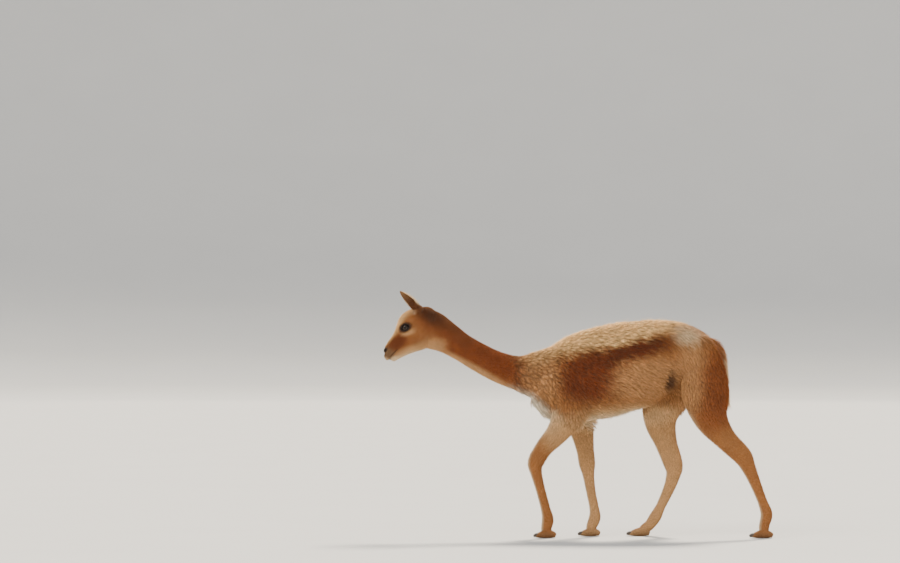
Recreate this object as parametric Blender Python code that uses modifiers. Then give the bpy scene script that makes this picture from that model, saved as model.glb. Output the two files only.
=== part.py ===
"""A life-size vicuna, walking slowly with its head low and its left forefoot just set down.

Metres, +Z up. The head points to -X and the animal's left side faces -Y. The origin is on the
floor, under the middle of the whole animal.
"""

from collections import namedtuple
from math import cos, pi, radians, sin
from random import Random

import bmesh
import bpy
from mathutils import Matrix, Vector
from mathutils.bvhtree import BVHTree
from mathutils.geometry import intersect_point_line

# General sizes
GAP = 0.0003
CLEARANCE = 0.0005
SHORTEST_EDGE = 0.00003
BODY_VOXEL = 0.005
HEAD_VOXEL = 0.0025
FOOT_VOXEL = 0.002
BODY_TRIANGLES = 3600
HEAD_TRIANGLES = 2150
FOOT_TRIANGLES = 350
SECTION_SIDES = 28
FLEECE_DEPTH = 0.006

# The trunk, from the chest to the rump: place along the body, back, belly, half width
TRUNK = (
    (-0.206, 0.744, 0.576, 0.052),
    (-0.159, 0.786, 0.520, 0.078),
    (-0.108, 0.820, 0.500, 0.098),
    (-0.032, 0.863, 0.495, 0.112),
    (0.053, 0.890, 0.495, 0.125),
    (0.159, 0.914, 0.514, 0.138),
    (0.266, 0.923, 0.548, 0.140),
    (0.351, 0.926, 0.600, 0.132),
    (0.436, 0.916, 0.655, 0.122),
    (0.521, 0.882, 0.620, 0.112),
    (0.572, 0.838, 0.610, 0.086),
    (0.594, 0.800, 0.650, 0.052),
)

# The neck and the head, from back to front: place, height, half depth, half width
NECK = (
    (-0.130, 0.690, 0.120, 0.086),
    (-0.206, 0.692, 0.094, 0.072),
    (-0.269, 0.701, 0.075, 0.058),
    (-0.342, 0.725, 0.067, 0.050),
    (-0.414, 0.761, 0.063, 0.045),
    (-0.489, 0.805, 0.061, 0.042),
    (-0.550, 0.844, 0.068, 0.043),
    (-0.610, 0.876, 0.081, 0.045),
    (-0.652, 0.901, 0.072, 0.043),
)
HEAD = (
    (-0.597, 0.944, 0.030, 0.030),
    (-0.623, 0.931, 0.058, 0.044),
    (-0.642, 0.912, 0.077, 0.049),
    (-0.667, 0.893, 0.090, 0.051),
    (-0.691, 0.873, 0.091, 0.051),
    (-0.714, 0.851, 0.078, 0.046),
    (-0.737, 0.830, 0.062, 0.036),
    (-0.760, 0.811, 0.051, 0.030),
    (-0.785, 0.792, 0.043, 0.027),
    (-0.809, 0.780, 0.030, 0.023),
    (-0.818, 0.779, 0.016, 0.014),
)

# Rounded masses on the head, each on both sides: centre, radii along, across and up, nose-down pitch
Mass = namedtuple("Mass", "centre radii pitch")
HEAD_MASSES = {
    "nose pad": Mass((-0.8085, 0.006, 0.7935), (0.0165, 0.0125, 0.0150), 40),
    "upper lip": Mass((-0.8060, 0.008, 0.7680), (0.0165, 0.0135, 0.0190), 20),
    "chin": Mass((-0.7780, 0.006, 0.7650), (0.0200, 0.0145, 0.0170), 40),
    "cheek": Mass((-0.6820, 0.029, 0.8560), (0.0560, 0.0215, 0.0470), 30),
    "orbit": Mass((-0.7300, 0.026, 0.8910), (0.0300, 0.0215, 0.0255), 25),
    "brow": Mass((-0.7160, 0.029, 0.9200), (0.0280, 0.0150, 0.0110), 20),
    "ear root": Mass((-0.6770, 0.0310, 0.9640), (0.0250, 0.0190, 0.0200), 50),
}

# The eyes and what is cut round them
EYE_CENTRE = Vector((-0.7300, 0.0275, 0.8905))
EYE_RADIUS = 0.020
LID_THICKNESS = 0.0032
EYE_OPENING_LENGTH = 0.0364
EYE_OPENING_HEIGHT = 0.0265
EYE_SLANT = radians(24)
EYE_FORWARD = radians(9)
EYE_SIDES = 14

# The line of the mouth, the nostrils and the cleft of the upper lip, seen from the side
MOUTH_LINE = ((-0.767, 0.797), (-0.777, 0.785), (-0.791, 0.769), (-0.806, 0.742))
MOUTH_WIDTH = 0.0055
MOUTH_DEPTH = 0.0040
NOSTRIL_CENTRE = Vector((-0.8165, 0.0125, 0.7960))
NOSTRIL_RADII = (0.0085, 0.0065, 0.0032)
NOSTRIL_PITCH = radians(35)
CLEFT_HALF_WIDTH = 0.0035
CLEFT_DEPTH = 0.0030
CLEFT_HEIGHTS = (0.742, 0.785)

# The ears
EAR_ROOT = Vector((-0.6800, 0.0340, 0.9700))
EAR_TIP = Vector((-0.7560, 0.0560, 1.0460))
EAR_FACING = Vector((-0.40, 0.90, -0.22))
EAR_HALF_WIDTH = 0.0215
EAR_HALF_DEPTH = 0.0135
EAR_WALL = 0.0030
EAR_CUP_FLOOR = 0.35
EAR_CUP_ROUNDING = 0.28
EAR_RINGS = 8
EAR_SIDES = 12

# The legs, from the trunk down. Each landmark has a half depth, a half width and a distance
# from the middle of the body, and each leg has the landmarks' places and heights.
Landmark = namedtuple("Landmark", "half_depth half_width side")
FORE_LANDMARKS = (
    Landmark(0.093, 0.040, 0.070),   # shoulder
    Landmark(0.088, 0.045, 0.078),   # upper arm
    Landmark(0.077, 0.042, 0.080),   # elbow
    Landmark(0.053, 0.034, 0.078),   # forearm
    Landmark(0.040, 0.028, 0.077),   # above the knee
    Landmark(0.037, 0.027, 0.076),   # knee
    Landmark(0.027, 0.024, 0.076),   # below the knee
    Landmark(0.022, 0.020, 0.076),   # cannon
    Landmark(0.022, 0.021, 0.076),   # above the fetlock
    Landmark(0.026, 0.025, 0.076),   # fetlock
    Landmark(0.023, 0.026, 0.076),   # pastern
)
HIND_LANDMARKS = (
    Landmark(0.068, 0.040, 0.060),   # hip
    Landmark(0.098, 0.052, 0.066),   # thigh
    Landmark(0.100, 0.056, 0.072),   # stifle
    Landmark(0.074, 0.047, 0.078),   # gaskin
    Landmark(0.050, 0.038, 0.082),   # lower gaskin
    Landmark(0.043, 0.030, 0.084),   # hock
    Landmark(0.033, 0.026, 0.085),   # below the hock
    Landmark(0.026, 0.021, 0.085),   # cannon
    Landmark(0.022, 0.020, 0.085),   # above the fetlock
    Landmark(0.026, 0.025, 0.085),   # fetlock
    Landmark(0.023, 0.026, 0.085),   # pastern
)
ELBOW = 2
KNEE = 5
FETLOCK = 9

# A leg's root is the height of the level cut that parts it from the trunk
Leg = namedtuple("Leg", "sign landmarks path toe heel root")
LEFT = -1
RIGHT = 1
LEGS = {
    "leg_front_left": Leg(LEFT, FORE_LANDMARKS, (
        (-0.049, 0.701), (-0.040, 0.616), (-0.041, 0.530), (-0.083, 0.451), (-0.145, 0.380),
        (-0.179, 0.320), (-0.178, 0.280), (-0.160, 0.210), (-0.136, 0.120), (-0.128, 0.077),
        (-0.134, 0.043)), -0.181, -0.091, 0.488),
    "leg_front_right": Leg(RIGHT, FORE_LANDMARKS, (
        (-0.023, 0.701), (-0.015, 0.616), (0.004, 0.530), (0.021, 0.446), (0.034, 0.372),
        (0.043, 0.306), (0.048, 0.264), (0.059, 0.190), (0.074, 0.115), (0.075, 0.077),
        (0.062, 0.043)), 0.011, 0.100, 0.488),
    "leg_hind_left": Leg(LEFT, HIND_LANDMARKS, (
        (0.512, 0.816), (0.533, 0.700), (0.541, 0.600), (0.563, 0.506), (0.622, 0.422),
        (0.694, 0.350), (0.721, 0.300), (0.748, 0.238), (0.780, 0.156), (0.798, 0.102),
        (0.789, 0.058)), 0.733, 0.827, 0.600),
    "leg_hind_right": Leg(RIGHT, HIND_LANDMARKS, (
        (0.487, 0.795), (0.430, 0.690), (0.376, 0.590), (0.355, 0.497), (0.379, 0.400),
        (0.411, 0.306), (0.411, 0.262), (0.391, 0.200), (0.356, 0.125), (0.334, 0.082),
        (0.310, 0.048)), 0.219, 0.312, 0.558),
}

# The feet: two toes with pads and a nail on each
TOE_OFFSET = 0.0155
TOE_SPREAD = 0.0050
TOE_HALF_WIDTH = 0.0145
TOE_HALF_HEIGHT = 0.0170
TOE_ROOT = 0.55
NAIL_LENGTH = 0.017
NAIL_RADIUS = 0.0078
NAIL_SIDES = 8
FLOOR_CLEARANCE = 0.0008

# The tail, from its root down the rump: place, height, half depth, half width
TAIL = (
    (0.552, 0.846, 0.012, 0.018),
    (0.584, 0.822, 0.019, 0.027),
    (0.609, 0.775, 0.021, 0.033),
    (0.620, 0.705, 0.021, 0.036),
    (0.624, 0.640, 0.020, 0.034),
    (0.631, 0.585, 0.016, 0.028),
    (0.646, 0.545, 0.010, 0.017),
    (0.661, 0.528, 0.003, 0.005),
)

# The cuts that part the body, each a thin slab: middle, direction across the cut, side, half size
Cut = namedtuple("Cut", "centre normal half_size")
HEAD_CUT = -0.612
NECK_CUT = Cut(Vector((-0.236, 0.0, 0.692)), Vector((-0.97, 0.0, 0.24)), 0.150)
ROOT_CUT_SIZES = {"front": 0.092, "hind": 0.118}
JOINT_CUT_SIZES = {KNEE: 0.075, FETLOCK: 0.045}
CUT_HALF_WIDTH = 0.066

# The fleece of the trunk: wide, low locks in staggered rows from the withers to the rump
Fleece = namedtuple("Fleece", "first last rows per_row spread length width")
FLEECE = Fleece(first=-0.130, last=0.495, rows=8, per_row=7, spread=radians(96), length=0.122,
                width=0.082)
FLEECE_SLOPE = 0.55
FLEECE_JITTER = 0.010

# The long hair of the chest (place, height, half width of each row) and of the tail
BIB_ROWS = ((-0.230, 0.602, 0.022), (-0.214, 0.582, 0.034), (-0.196, 0.562, 0.042))
BIB_PER_ROW = 4
BIB_LENGTH = 0.064
BIB_WIDTH = 0.032
TAIL_ROWS = 4
TAIL_PER_ROW = 3
TAIL_LOCK_LENGTH = 0.105
TAIL_LOCK_WIDTH = 0.030
TAIL_JITTER = 0.003

# The form of one lock, from its root to its tip: share of the length, height over the surface,
# half thickness and share of the width
Ring = namedtuple("Ring", "along height half_thickness width")
FLEECE_LOCK = (
    Ring(0.00, -0.0070, 0.0040, 0.70),
    Ring(0.40, 0.0008, 0.0062, 1.00),
    Ring(0.78, 0.0040, 0.0042, 0.76),
    Ring(1.00, 0.0046, 0.0010, 0.14),
)
HAIR_LOCK = (
    Ring(0.00, -0.0070, 0.0035, 0.80),
    Ring(0.45, 0.0025, 0.0050, 1.00),
    Ring(0.80, 0.0078, 0.0032, 0.60),
    Ring(1.00, 0.0100, 0.0009, 0.10),
)
SEED = 15

COLOURS = {
    "coat": (0.42, 0.235, 0.105, 1.0),
    "pale coat": (0.74, 0.64, 0.50, 1.0),
    "eye": (0.018, 0.010, 0.006, 1.0),
    "nail": (0.045, 0.036, 0.030, 1.0),
}
ROUGHNESS = {"coat": 0.90, "pale coat": 0.92, "eye": 0.12, "nail": 0.45}


def clear_scene():
    """Removes whatever the file opened with."""
    for thing in list(bpy.data.objects):
        bpy.data.objects.remove(thing, do_unlink=True)


def make_collection(name):
    """Adds a collection to the scene."""
    collection = bpy.data.collections.new(name)
    bpy.context.scene.collection.children.link(collection)
    return collection


def make_material(name):
    """Makes one of the plain finishes."""
    material = bpy.data.materials.new(name)
    material.use_nodes = True
    shader = material.node_tree.nodes["Principled BSDF"]
    shader.inputs["Base Color"].default_value = COLOURS[name]
    shader.inputs["Roughness"].default_value = ROUGHNESS[name]
    shader.inputs["Metallic"].default_value = 0.0
    return material


def object_from(bm, name, collection):
    """Turns a bmesh into an object in a collection."""
    bmesh.ops.recalc_face_normals(bm, faces=bm.faces)
    mesh = bpy.data.meshes.new(name)
    bm.to_mesh(mesh)
    bm.free()
    thing = bpy.data.objects.new(name, mesh)
    collection.objects.link(thing)
    return thing


def rounded_path(points, steps=3):
    """Reads a smooth curve through a list of points of any size."""
    path = []
    last = len(points) - 1
    for i in range(last):
        before = points[max(i - 1, 0)]
        start = points[i]
        end = points[i + 1]
        after = points[min(i + 2, last)]
        for step in range(steps):
            t = step / steps
            path.append(tuple(
                0.5 * (2 * b + (c - a) * t + (2 * a - 5 * b + 4 * c - d) * t ** 2
                       + (3 * b - a - 3 * c + d) * t ** 3)
                for a, b, c, d in zip(before, start, end, after)))
    path.append(tuple(points[last]))
    return path


def bridge_rings(bm, rings):
    """Joins rings of points in order and closes both ends."""
    for first, second in zip(rings, rings[1:]):
        edges = {edge for vert in first + second for edge in vert.link_edges}
        edges = [e for e in edges if set(e.verts) <= set(first) or set(e.verts) <= set(second)]
        bmesh.ops.bridge_loops(bm, edges=edges)
    bm.faces.new(rings[0])
    bm.faces.new(rings[-1])


def loft(name, sections, collection, sides=SECTION_SIDES, steps=3, upright=False):
    """Joins elliptic sections (x, y, z, half depth, half width) into one closed form.

    Each section stands square to the path through the centres, or upright.
    """
    path = rounded_path(sections, steps)
    bm = bmesh.new()
    rings = []
    for i, (x, y, z, half_depth, half_width) in enumerate(path):
        before = Vector(path[max(i - 1, 0)][:3])
        after = Vector(path[min(i + 1, len(path) - 1)][:3])
        along = Vector((1.0, 0.0, 0.0)) if upright else (after - before).normalized()
        across = Vector((0.0, 1.0, 0.0))
        depth = along.cross(across).normalized()
        across = depth.cross(along).normalized()
        frame = Matrix((depth * half_depth, across * half_width, along)).transposed().to_4x4()
        frame.translation = Vector((x, y, z))
        ring = bmesh.ops.create_circle(bm, segments=sides, radius=1.0, matrix=frame)["verts"]
        rings.append(ring)
    bridge_rings(bm, rings)
    return object_from(bm, name, collection)


def trunk_form(collection):
    """The barrel of the body, inside its fleece."""
    sections = [(x, 0.0, (back - FLEECE_DEPTH + belly) / 2, (back - FLEECE_DEPTH - belly) / 2,
                 width - FLEECE_DEPTH)
                for x, back, belly, width in TRUNK]
    return loft("trunk form", sections, collection, upright=True)


def neck_form(collection, sections=NECK):
    """The neck, or part of it."""
    return loft("neck form", [(x, 0.0, z, d, w) for x, z, d, w in sections], collection)


def head_form(collection):
    """The skull and muzzle without their masses."""
    return loft("head form", [(x, 0.0, z, d, w) for x, z, d, w in HEAD], collection)


def leg_sections(leg, first=0):
    """The sections of one leg from a landmark down."""
    return [(x, leg.sign * mark.side, z, mark.half_depth, mark.half_width)
            for (x, z), mark in list(zip(leg.path, leg.landmarks))[first:]]


def ellipsoid(name, centre, radii, pitch, collection):
    """A rounded mass, pitched nose-down about the Y axis."""
    bm = bmesh.new()
    bmesh.ops.create_uvsphere(bm, u_segments=24, v_segments=14, radius=1.0)
    bmesh.ops.scale(bm, vec=Vector(radii), verts=bm.verts)
    bmesh.ops.rotate(bm, cent=Vector(), matrix=Matrix.Rotation(-pitch, 3, "Y"), verts=bm.verts)
    bmesh.ops.translate(bm, vec=Vector(centre), verts=bm.verts)
    return object_from(bm, name, collection)


def head_mass_forms(collection):
    """The nose, lips, chin, cheeks, orbits, brows and ear roots, on both sides."""
    forms = []
    for name, mass in HEAD_MASSES.items():
        x, y, z = mass.centre
        for sign in (LEFT, RIGHT):
            centre = (x, sign * y, z)
            forms.append(ellipsoid(name, centre, mass.radii, radians(mass.pitch), collection))
    return forms


def applied(thing):
    """Applies an object's modifiers."""
    depsgraph = bpy.context.evaluated_depsgraph_get()
    mesh = bpy.data.meshes.new_from_object(thing.evaluated_get(depsgraph))
    old = thing.data
    thing.modifiers.clear()
    thing.data = mesh
    bpy.data.meshes.remove(old)
    return thing


def joined(forms, name):
    """Puts several forms in one mesh, not yet fused."""
    bm = bmesh.new()
    for form in forms:
        bm.from_mesh(form.data)
    collection = forms[0].users_collection[0]
    for form in forms:
        bpy.data.objects.remove(form, do_unlink=True)
    return object_from(bm, name, collection)


def fused(forms, name, voxel, smoothing):
    """Fuses overlapping forms into one skin and softens where they meet."""
    skin = joined(forms, name)
    remesh = skin.modifiers.new("one skin", "REMESH")
    remesh.mode = "VOXEL"
    remesh.voxel_size = voxel
    remesh.adaptivity = 0.0
    smooth = skin.modifiers.new("soften", "SMOOTH")
    smooth.factor = 0.5
    smooth.iterations = smoothing
    return applied(skin)


def simplified(skin, triangles):
    """Thins a mesh to about the given number of triangles."""
    present = sum(len(face.vertices) - 2 for face in skin.data.polygons)
    decimate = skin.modifiers.new("thin out", "DECIMATE")
    decimate.ratio = min(1.0, triangles / present)
    return applied(skin)


def boolean(thing, collection, operation="DIFFERENCE", solver="EXACT"):
    """Cuts an object with, or joins it to, all the objects of a collection."""
    modifier = thing.modifiers.new(operation.lower(), "BOOLEAN")
    modifier.operation = operation
    modifier.solver = solver
    modifier.operand_type = "COLLECTION"
    modifier.collection = collection
    return applied(thing)


def remove_objects(things):
    """Removes helpers that have done their work."""
    for thing in list(things):
        bpy.data.objects.remove(thing, do_unlink=True)


def move_to(thing, collection):
    """Moves an object to a collection."""
    for present in list(thing.users_collection):
        present.objects.unlink(thing)
    collection.objects.link(thing)


def hide_helper(thing):
    """Marks an object as a cutter."""
    thing.hide_render = True
    thing.display_type = "WIRE"
    return thing


def islands(mesh):
    """Lists the separate closed surfaces of a mesh, as sets of vertex indices."""
    bm = bmesh.new()
    bm.from_mesh(mesh)
    bm.verts.ensure_lookup_table()
    seen = set()
    found = []
    for vert in bm.verts:
        if vert.index in seen:
            continue
        island = {vert.index}
        front = [vert]
        while front:
            for edge in front.pop().link_edges:
                for other in edge.verts:
                    if other.index not in island:
                        island.add(other.index)
                        front.append(other)
        seen |= island
        found.append(island)
    bm.free()
    return found


def only_vertices(mesh, kept, name):
    """Copies the part of a mesh that a set of vertices makes."""
    bm = bmesh.new()
    bm.from_mesh(mesh)
    bm.verts.ensure_lookup_table()
    dropped = [vert for vert in bm.verts if vert.index not in kept]
    bmesh.ops.delete(bm, geom=dropped, context="VERTS")
    part = bpy.data.meshes.new(name)
    bm.to_mesh(part)
    bm.free()
    return part


def keep_largest(thing):
    """Keeps the largest closed surface of an object and drops loose scraps."""
    found = islands(thing.data)
    if len(found) > 1:
        thing.data = only_vertices(thing.data, max(found, key=len), thing.data.name)
    return thing


def centre_of(mesh, kept):
    """The mean place of a set of vertices."""
    total = Vector()
    for index in kept:
        total += mesh.vertices[index].co
    return total / len(kept)


def dissolve_mid_edge_points(bm):
    """Takes out the points that only split an edge in two."""
    points = [vert for vert in bm.verts if len(vert.link_edges) == 2]
    bmesh.ops.dissolve_verts(bm, verts=points)


def cleaned(thing):
    """Closes up the shortest edges that a cut leaves, and makes every face a triangle."""
    bm = bmesh.new()
    bm.from_mesh(thing.data)
    dissolve_mid_edge_points(bm)
    bmesh.ops.dissolve_degenerate(bm, edges=bm.edges, dist=SHORTEST_EDGE)
    dissolve_mid_edge_points(bm)
    bmesh.ops.triangulate(bm, faces=bm.faces)
    bm.to_mesh(thing.data)
    bm.free()
    return thing


def cut_flat(thing, point, normal):
    """Cuts off what lies on the normal's side of a plane and closes the opening."""
    bm = bmesh.new()
    bm.from_mesh(thing.data)
    geometry = list(bm.verts) + list(bm.edges) + list(bm.faces)
    cut = bmesh.ops.bisect_plane(bm, geom=geometry, dist=1e-6, plane_co=point, plane_no=normal,
                                 clear_outer=True)
    rim = [item for item in cut["geom_cut"] if isinstance(item, bmesh.types.BMEdge)]
    bmesh.ops.holes_fill(bm, edges=rim, sides=0)
    bmesh.ops.recalc_face_normals(bm, faces=bm.faces)
    bm.to_mesh(thing.data)
    bm.free()
    return keep_largest(thing)


def cutting_slab(cut, side, width, collection):
    """A slab as thick as the gap, square to the cut's direction."""
    bm = bmesh.new()
    bmesh.ops.create_cube(bm, size=1.0)
    bmesh.ops.scale(bm, vec=Vector((GAP, 2 * width, 2 * cut.half_size)), verts=bm.verts)
    turn = Vector((1.0, 0.0, 0.0)).rotation_difference(cut.normal.normalized())
    bmesh.ops.rotate(bm, cent=Vector(), matrix=turn.to_matrix(), verts=bm.verts)
    bmesh.ops.translate(bm, vec=cut.centre + Vector((0.0, side, 0.0)), verts=bm.verts)
    return hide_helper(object_from(bm, "slab", collection))


def joint_cut(leg, landmark):
    """A cut square to a leg at its knee, hock or fetlock."""
    x, z = leg.path[landmark]
    above = leg.path[landmark - 1]
    below = leg.path[landmark + 1]
    normal = Vector((below[0] - above[0], 0.0, below[1] - above[1]))
    return Cut(Vector((x, 0.0, z)), normal, JOINT_CUT_SIZES[landmark])


def root_cut(name, leg):
    """A level cut where a leg leaves the trunk."""
    for (x0, z0), (x1, z1) in zip(leg.path, leg.path[1:]):
        if z1 <= leg.root <= z0:
            x = x0 + (x1 - x0) * (z0 - leg.root) / (z0 - z1)
    size = ROOT_CUT_SIZES["front" if "front" in name else "hind"]
    return Cut(Vector((x, 0.0, leg.root)), Vector((0.0, 0.0, -1.0)), size)


def cut_body(body, helpers):
    """Parts the body at the neck and at three places on each leg."""
    cutting_slab(NECK_CUT, 0.0, 0.15, helpers)
    for name, leg in LEGS.items():
        root_side = leg.sign * leg.landmarks[ELBOW].side
        side = leg.sign * leg.landmarks[KNEE].side
        cutting_slab(root_cut(name, leg), root_side, CUT_HALF_WIDTH, helpers)
        cutting_slab(joint_cut(leg, KNEE), side, CUT_HALF_WIDTH, helpers)
        cutting_slab(joint_cut(leg, FETLOCK), side, CUT_HALF_WIDTH, helpers)
    boolean(body, helpers)
    remove_objects(helpers.objects)


def middle_of(leg, first, last):
    """The point half way between two landmarks of a leg."""
    x = (leg.path[first][0] + leg.path[last][0]) / 2
    z = (leg.path[first][1] + leg.path[last][1]) / 2
    return Vector((x, leg.sign * leg.landmarks[first].side, z))


def body_places():
    """Where the middle of each piece of the parted body is expected."""
    places = {
        "torso": Vector((0.20, 0.0, 0.70)),
        "neck": Vector((-0.42, 0.0, 0.77)),
    }
    for name, leg in LEGS.items():
        places[name + "_upper"] = middle_of(leg, ELBOW, KNEE)
        places[name + "_lower"] = middle_of(leg, KNEE, FETLOCK)
    return places


def build_body(parts, helpers, material):
    """The torso, neck and the upper and lower part of each leg."""
    forms = [trunk_form(helpers), neck_form(helpers), head_form(helpers)]
    for leg in LEGS.values():
        forms.append(loft("leg form", leg_sections(leg), helpers))
    body = fused(forms, "body", BODY_VOXEL, smoothing=10)
    body = simplified(body, BODY_TRIANGLES)
    body = cut_flat(body, Vector((HEAD_CUT + GAP / 2, 0.0, 0.0)), Vector((-1.0, 0.0, 0.0)))
    move_to(body, parts)
    cut_body(body, helpers)
    found = islands(body.data)
    middles = [centre_of(body.data, island) for island in found]
    pieces = {}
    for name, place in body_places().items():
        nearest = min(range(len(found)), key=lambda i: (middles[i] - place).length)
        piece = bpy.data.objects.new(name, only_vertices(body.data, found[nearest], name))
        parts.objects.link(piece)
        piece.data.materials.append(material)
        pieces[name] = cleaned(piece)
    bpy.data.objects.remove(body, do_unlink=True)
    return pieces


def press_in(mesh, path, width, depth):
    """Presses a groove into a surface along a line seen from the side."""
    points = [Vector((x, 0.0, z)) for x, z in path]
    normals = [vert.normal.copy() for vert in mesh.vertices]
    for vert, normal in zip(mesh.vertices, normals):
        seen = Vector((vert.co.x, 0.0, vert.co.z))
        nearest = width
        for start, end in zip(points, points[1:]):
            spot, share = intersect_point_line(seen, start, end)
            spot = start if share < 0 else end if share > 1 else spot
            nearest = min(nearest, (seen - spot).length)
        if nearest < width:
            vert.co -= normal * depth * (0.5 + 0.5 * cos(pi * nearest / width))


def press_cleft(mesh):
    """Presses the cleft into the middle of the upper lip."""
    low, high = CLEFT_HEIGHTS
    normals = [vert.normal.copy() for vert in mesh.vertices]
    for vert, normal in zip(mesh.vertices, normals):
        if normal.x < -0.5 and low < vert.co.z < high and abs(vert.co.y) < CLEFT_HALF_WIDTH:
            share = 0.5 + 0.5 * cos(pi * vert.co.y / CLEFT_HALF_WIDTH)
            vert.co -= normal * CLEFT_DEPTH * share


def eye_opening(sign, collection):
    """The almond between the lids, as a cutter that starts in the eye and runs outwards."""
    bm = bmesh.new()
    steps = 10
    half = EYE_OPENING_LENGTH / 2
    rim = []
    for edge in (1, -1):
        for i in range(steps):
            along = edge * (-half + 2 * half * i / steps)
            rise = edge * EYE_OPENING_HEIGHT / 2 * cos(pi * along / (2 * half)) ** 0.8
            rim.append(bm.verts.new((along, 0.0, rise)))
    face = bm.faces.new(rim)
    sideways = bmesh.ops.extrude_face_region(bm, geom=[face])
    moved = [item for item in sideways["geom"] if isinstance(item, bmesh.types.BMVert)]
    bmesh.ops.translate(bm, vec=Vector((0.0, sign * 0.05, 0.0)), verts=moved)
    bmesh.ops.rotate(bm, cent=Vector(), matrix=Matrix.Rotation(-EYE_SLANT, 3, "Y"), verts=bm.verts)
    forward = Matrix.Rotation(sign * EYE_FORWARD, 3, "Z")
    bmesh.ops.rotate(bm, cent=Vector(), matrix=forward, verts=bm.verts)
    bmesh.ops.translate(bm, vec=mirrored(EYE_CENTRE, sign), verts=bm.verts)
    return hide_helper(object_from(bm, "eye opening", collection))


def ball(name, centre, radius, collection):
    """A round eye, or the space for it."""
    bm = bmesh.new()
    turn = Matrix.Translation(centre) @ Matrix.Rotation(radians(90), 4, "X")
    bmesh.ops.create_uvsphere(bm, u_segments=EYE_SIDES, v_segments=EYE_SIDES // 2 + 2,
                              radius=radius, matrix=turn)
    return object_from(bm, name, collection)


def mirrored(point, sign):
    """A point that is given for the right side, on the side asked for."""
    return Vector((point.x, sign * point.y, point.z))


def build_head(parts, helpers, materials):
    """The head with its lids, nostrils and mouth, and the eyes in their sockets."""
    front_of_neck = [section for section in NECK if section[0] < -0.40]
    forms = [head_form(helpers), neck_form(helpers, front_of_neck)]
    forms += head_mass_forms(helpers)
    for sign in (LEFT, RIGHT):
        lid_ball = ball("lids", mirrored(EYE_CENTRE, sign), EYE_RADIUS + LID_THICKNESS, helpers)
        forms.append(lid_ball)
    head = fused(forms, "head", HEAD_VOXEL, smoothing=4)
    press_in(head.data, MOUTH_LINE, MOUTH_WIDTH, MOUTH_DEPTH)
    press_cleft(head.data)
    head = simplified(head, HEAD_TRIANGLES)
    head = cut_flat(head, Vector((HEAD_CUT - GAP / 2, 0.0, 0.0)), Vector((1.0, 0.0, 0.0)))
    move_to(head, parts)
    for sign in (LEFT, RIGHT):
        hide_helper(ball("socket", mirrored(EYE_CENTRE, sign), EYE_RADIUS + GAP, helpers))
        eye_opening(sign, helpers)
        nostril = ellipsoid("nostril", mirrored(NOSTRIL_CENTRE, sign), NOSTRIL_RADII,
                            NOSTRIL_PITCH, helpers)
        hide_helper(nostril)
    boolean(head, helpers)
    remove_objects(helpers.objects)
    head.data.materials.clear()
    head.data.materials.append(materials["coat"])
    for sign, side in ((LEFT, "left"), (RIGHT, "right")):
        eye = ball("eye_" + side, mirrored(EYE_CENTRE, sign), EYE_RADIUS, parts)
        eye.data.materials.append(materials["eye"])
        cleaned(eye)
    return cleaned(keep_largest(head))


def grown_copy(thing, distance, collection):
    """A copy of a solid that is larger all round, used to cut its neighbours clear."""
    copy = bpy.data.objects.new("grown " + thing.name, thing.data.copy())
    collection.objects.link(copy)
    grow = copy.modifiers.new("grow", "DISPLACE")
    grow.strength = distance
    grow.mid_level = 0.0
    return hide_helper(applied(copy))


def ear_blade(name, sign, inset, collection):
    """A leaf that narrows to the tip; the inset makes the smaller leaf that hollows the cup."""
    root = mirrored(EAR_ROOT, sign)
    tip = mirrored(EAR_TIP, sign)
    facing = mirrored(EAR_FACING, sign)
    along = (tip - root).normalized()
    facing = (facing - along * facing.dot(along)).normalized()
    across = along.cross(facing)
    length = (tip - root).length
    bm = bmesh.new()
    rings = []
    start = 0.17 if inset else -0.16
    stop = 0.93 if inset else 1.0
    for i in range(EAR_RINGS):
        t = start + (stop - start) * i / (EAR_RINGS - 1)
        swell = sin(pi * min(max(0.30 + 0.70 * t, 0.0), 1.0)) ** 0.75 + 0.04
        if inset:
            swell *= min(1.0, EAR_CUP_FLOOR + (t - start) / EAR_CUP_ROUNDING)
        half_width = max(EAR_HALF_WIDTH * swell - inset, 0.0012)
        half_depth = max(EAR_HALF_DEPTH * swell - inset, 0.0012)
        centre = root + along * length * t
        if inset:
            centre += facing * (inset + 0.45 * half_depth)
        bend = facing * length * 0.05 * sin(pi * t)
        frame = Matrix((across * half_width, facing * half_depth, along)).transposed().to_4x4()
        frame.translation = centre - bend
        rings.append(bmesh.ops.create_circle(bm, segments=EAR_SIDES, radius=1.0,
                                             matrix=frame)["verts"])
    bridge_rings(bm, rings)
    return object_from(bm, name, collection)


def build_ears(parts, helpers, head, material):
    """Both ears, hollowed into cups and set on the head."""
    for sign, side in ((LEFT, "left"), (RIGHT, "right")):
        ear = ear_blade("ear_" + side, sign, 0.0, parts)
        hide_helper(ear_blade("hollow", sign, EAR_WALL, helpers))
        boolean(ear, helpers)
        remove_objects(helpers.objects)
        grown_copy(head, CLEARANCE, helpers)
        boolean(ear, helpers)
        remove_objects(helpers.objects)
        ear.data.materials.clear()
        ear.data.materials.append(material)
        cleaned(keep_largest(ear))


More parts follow.
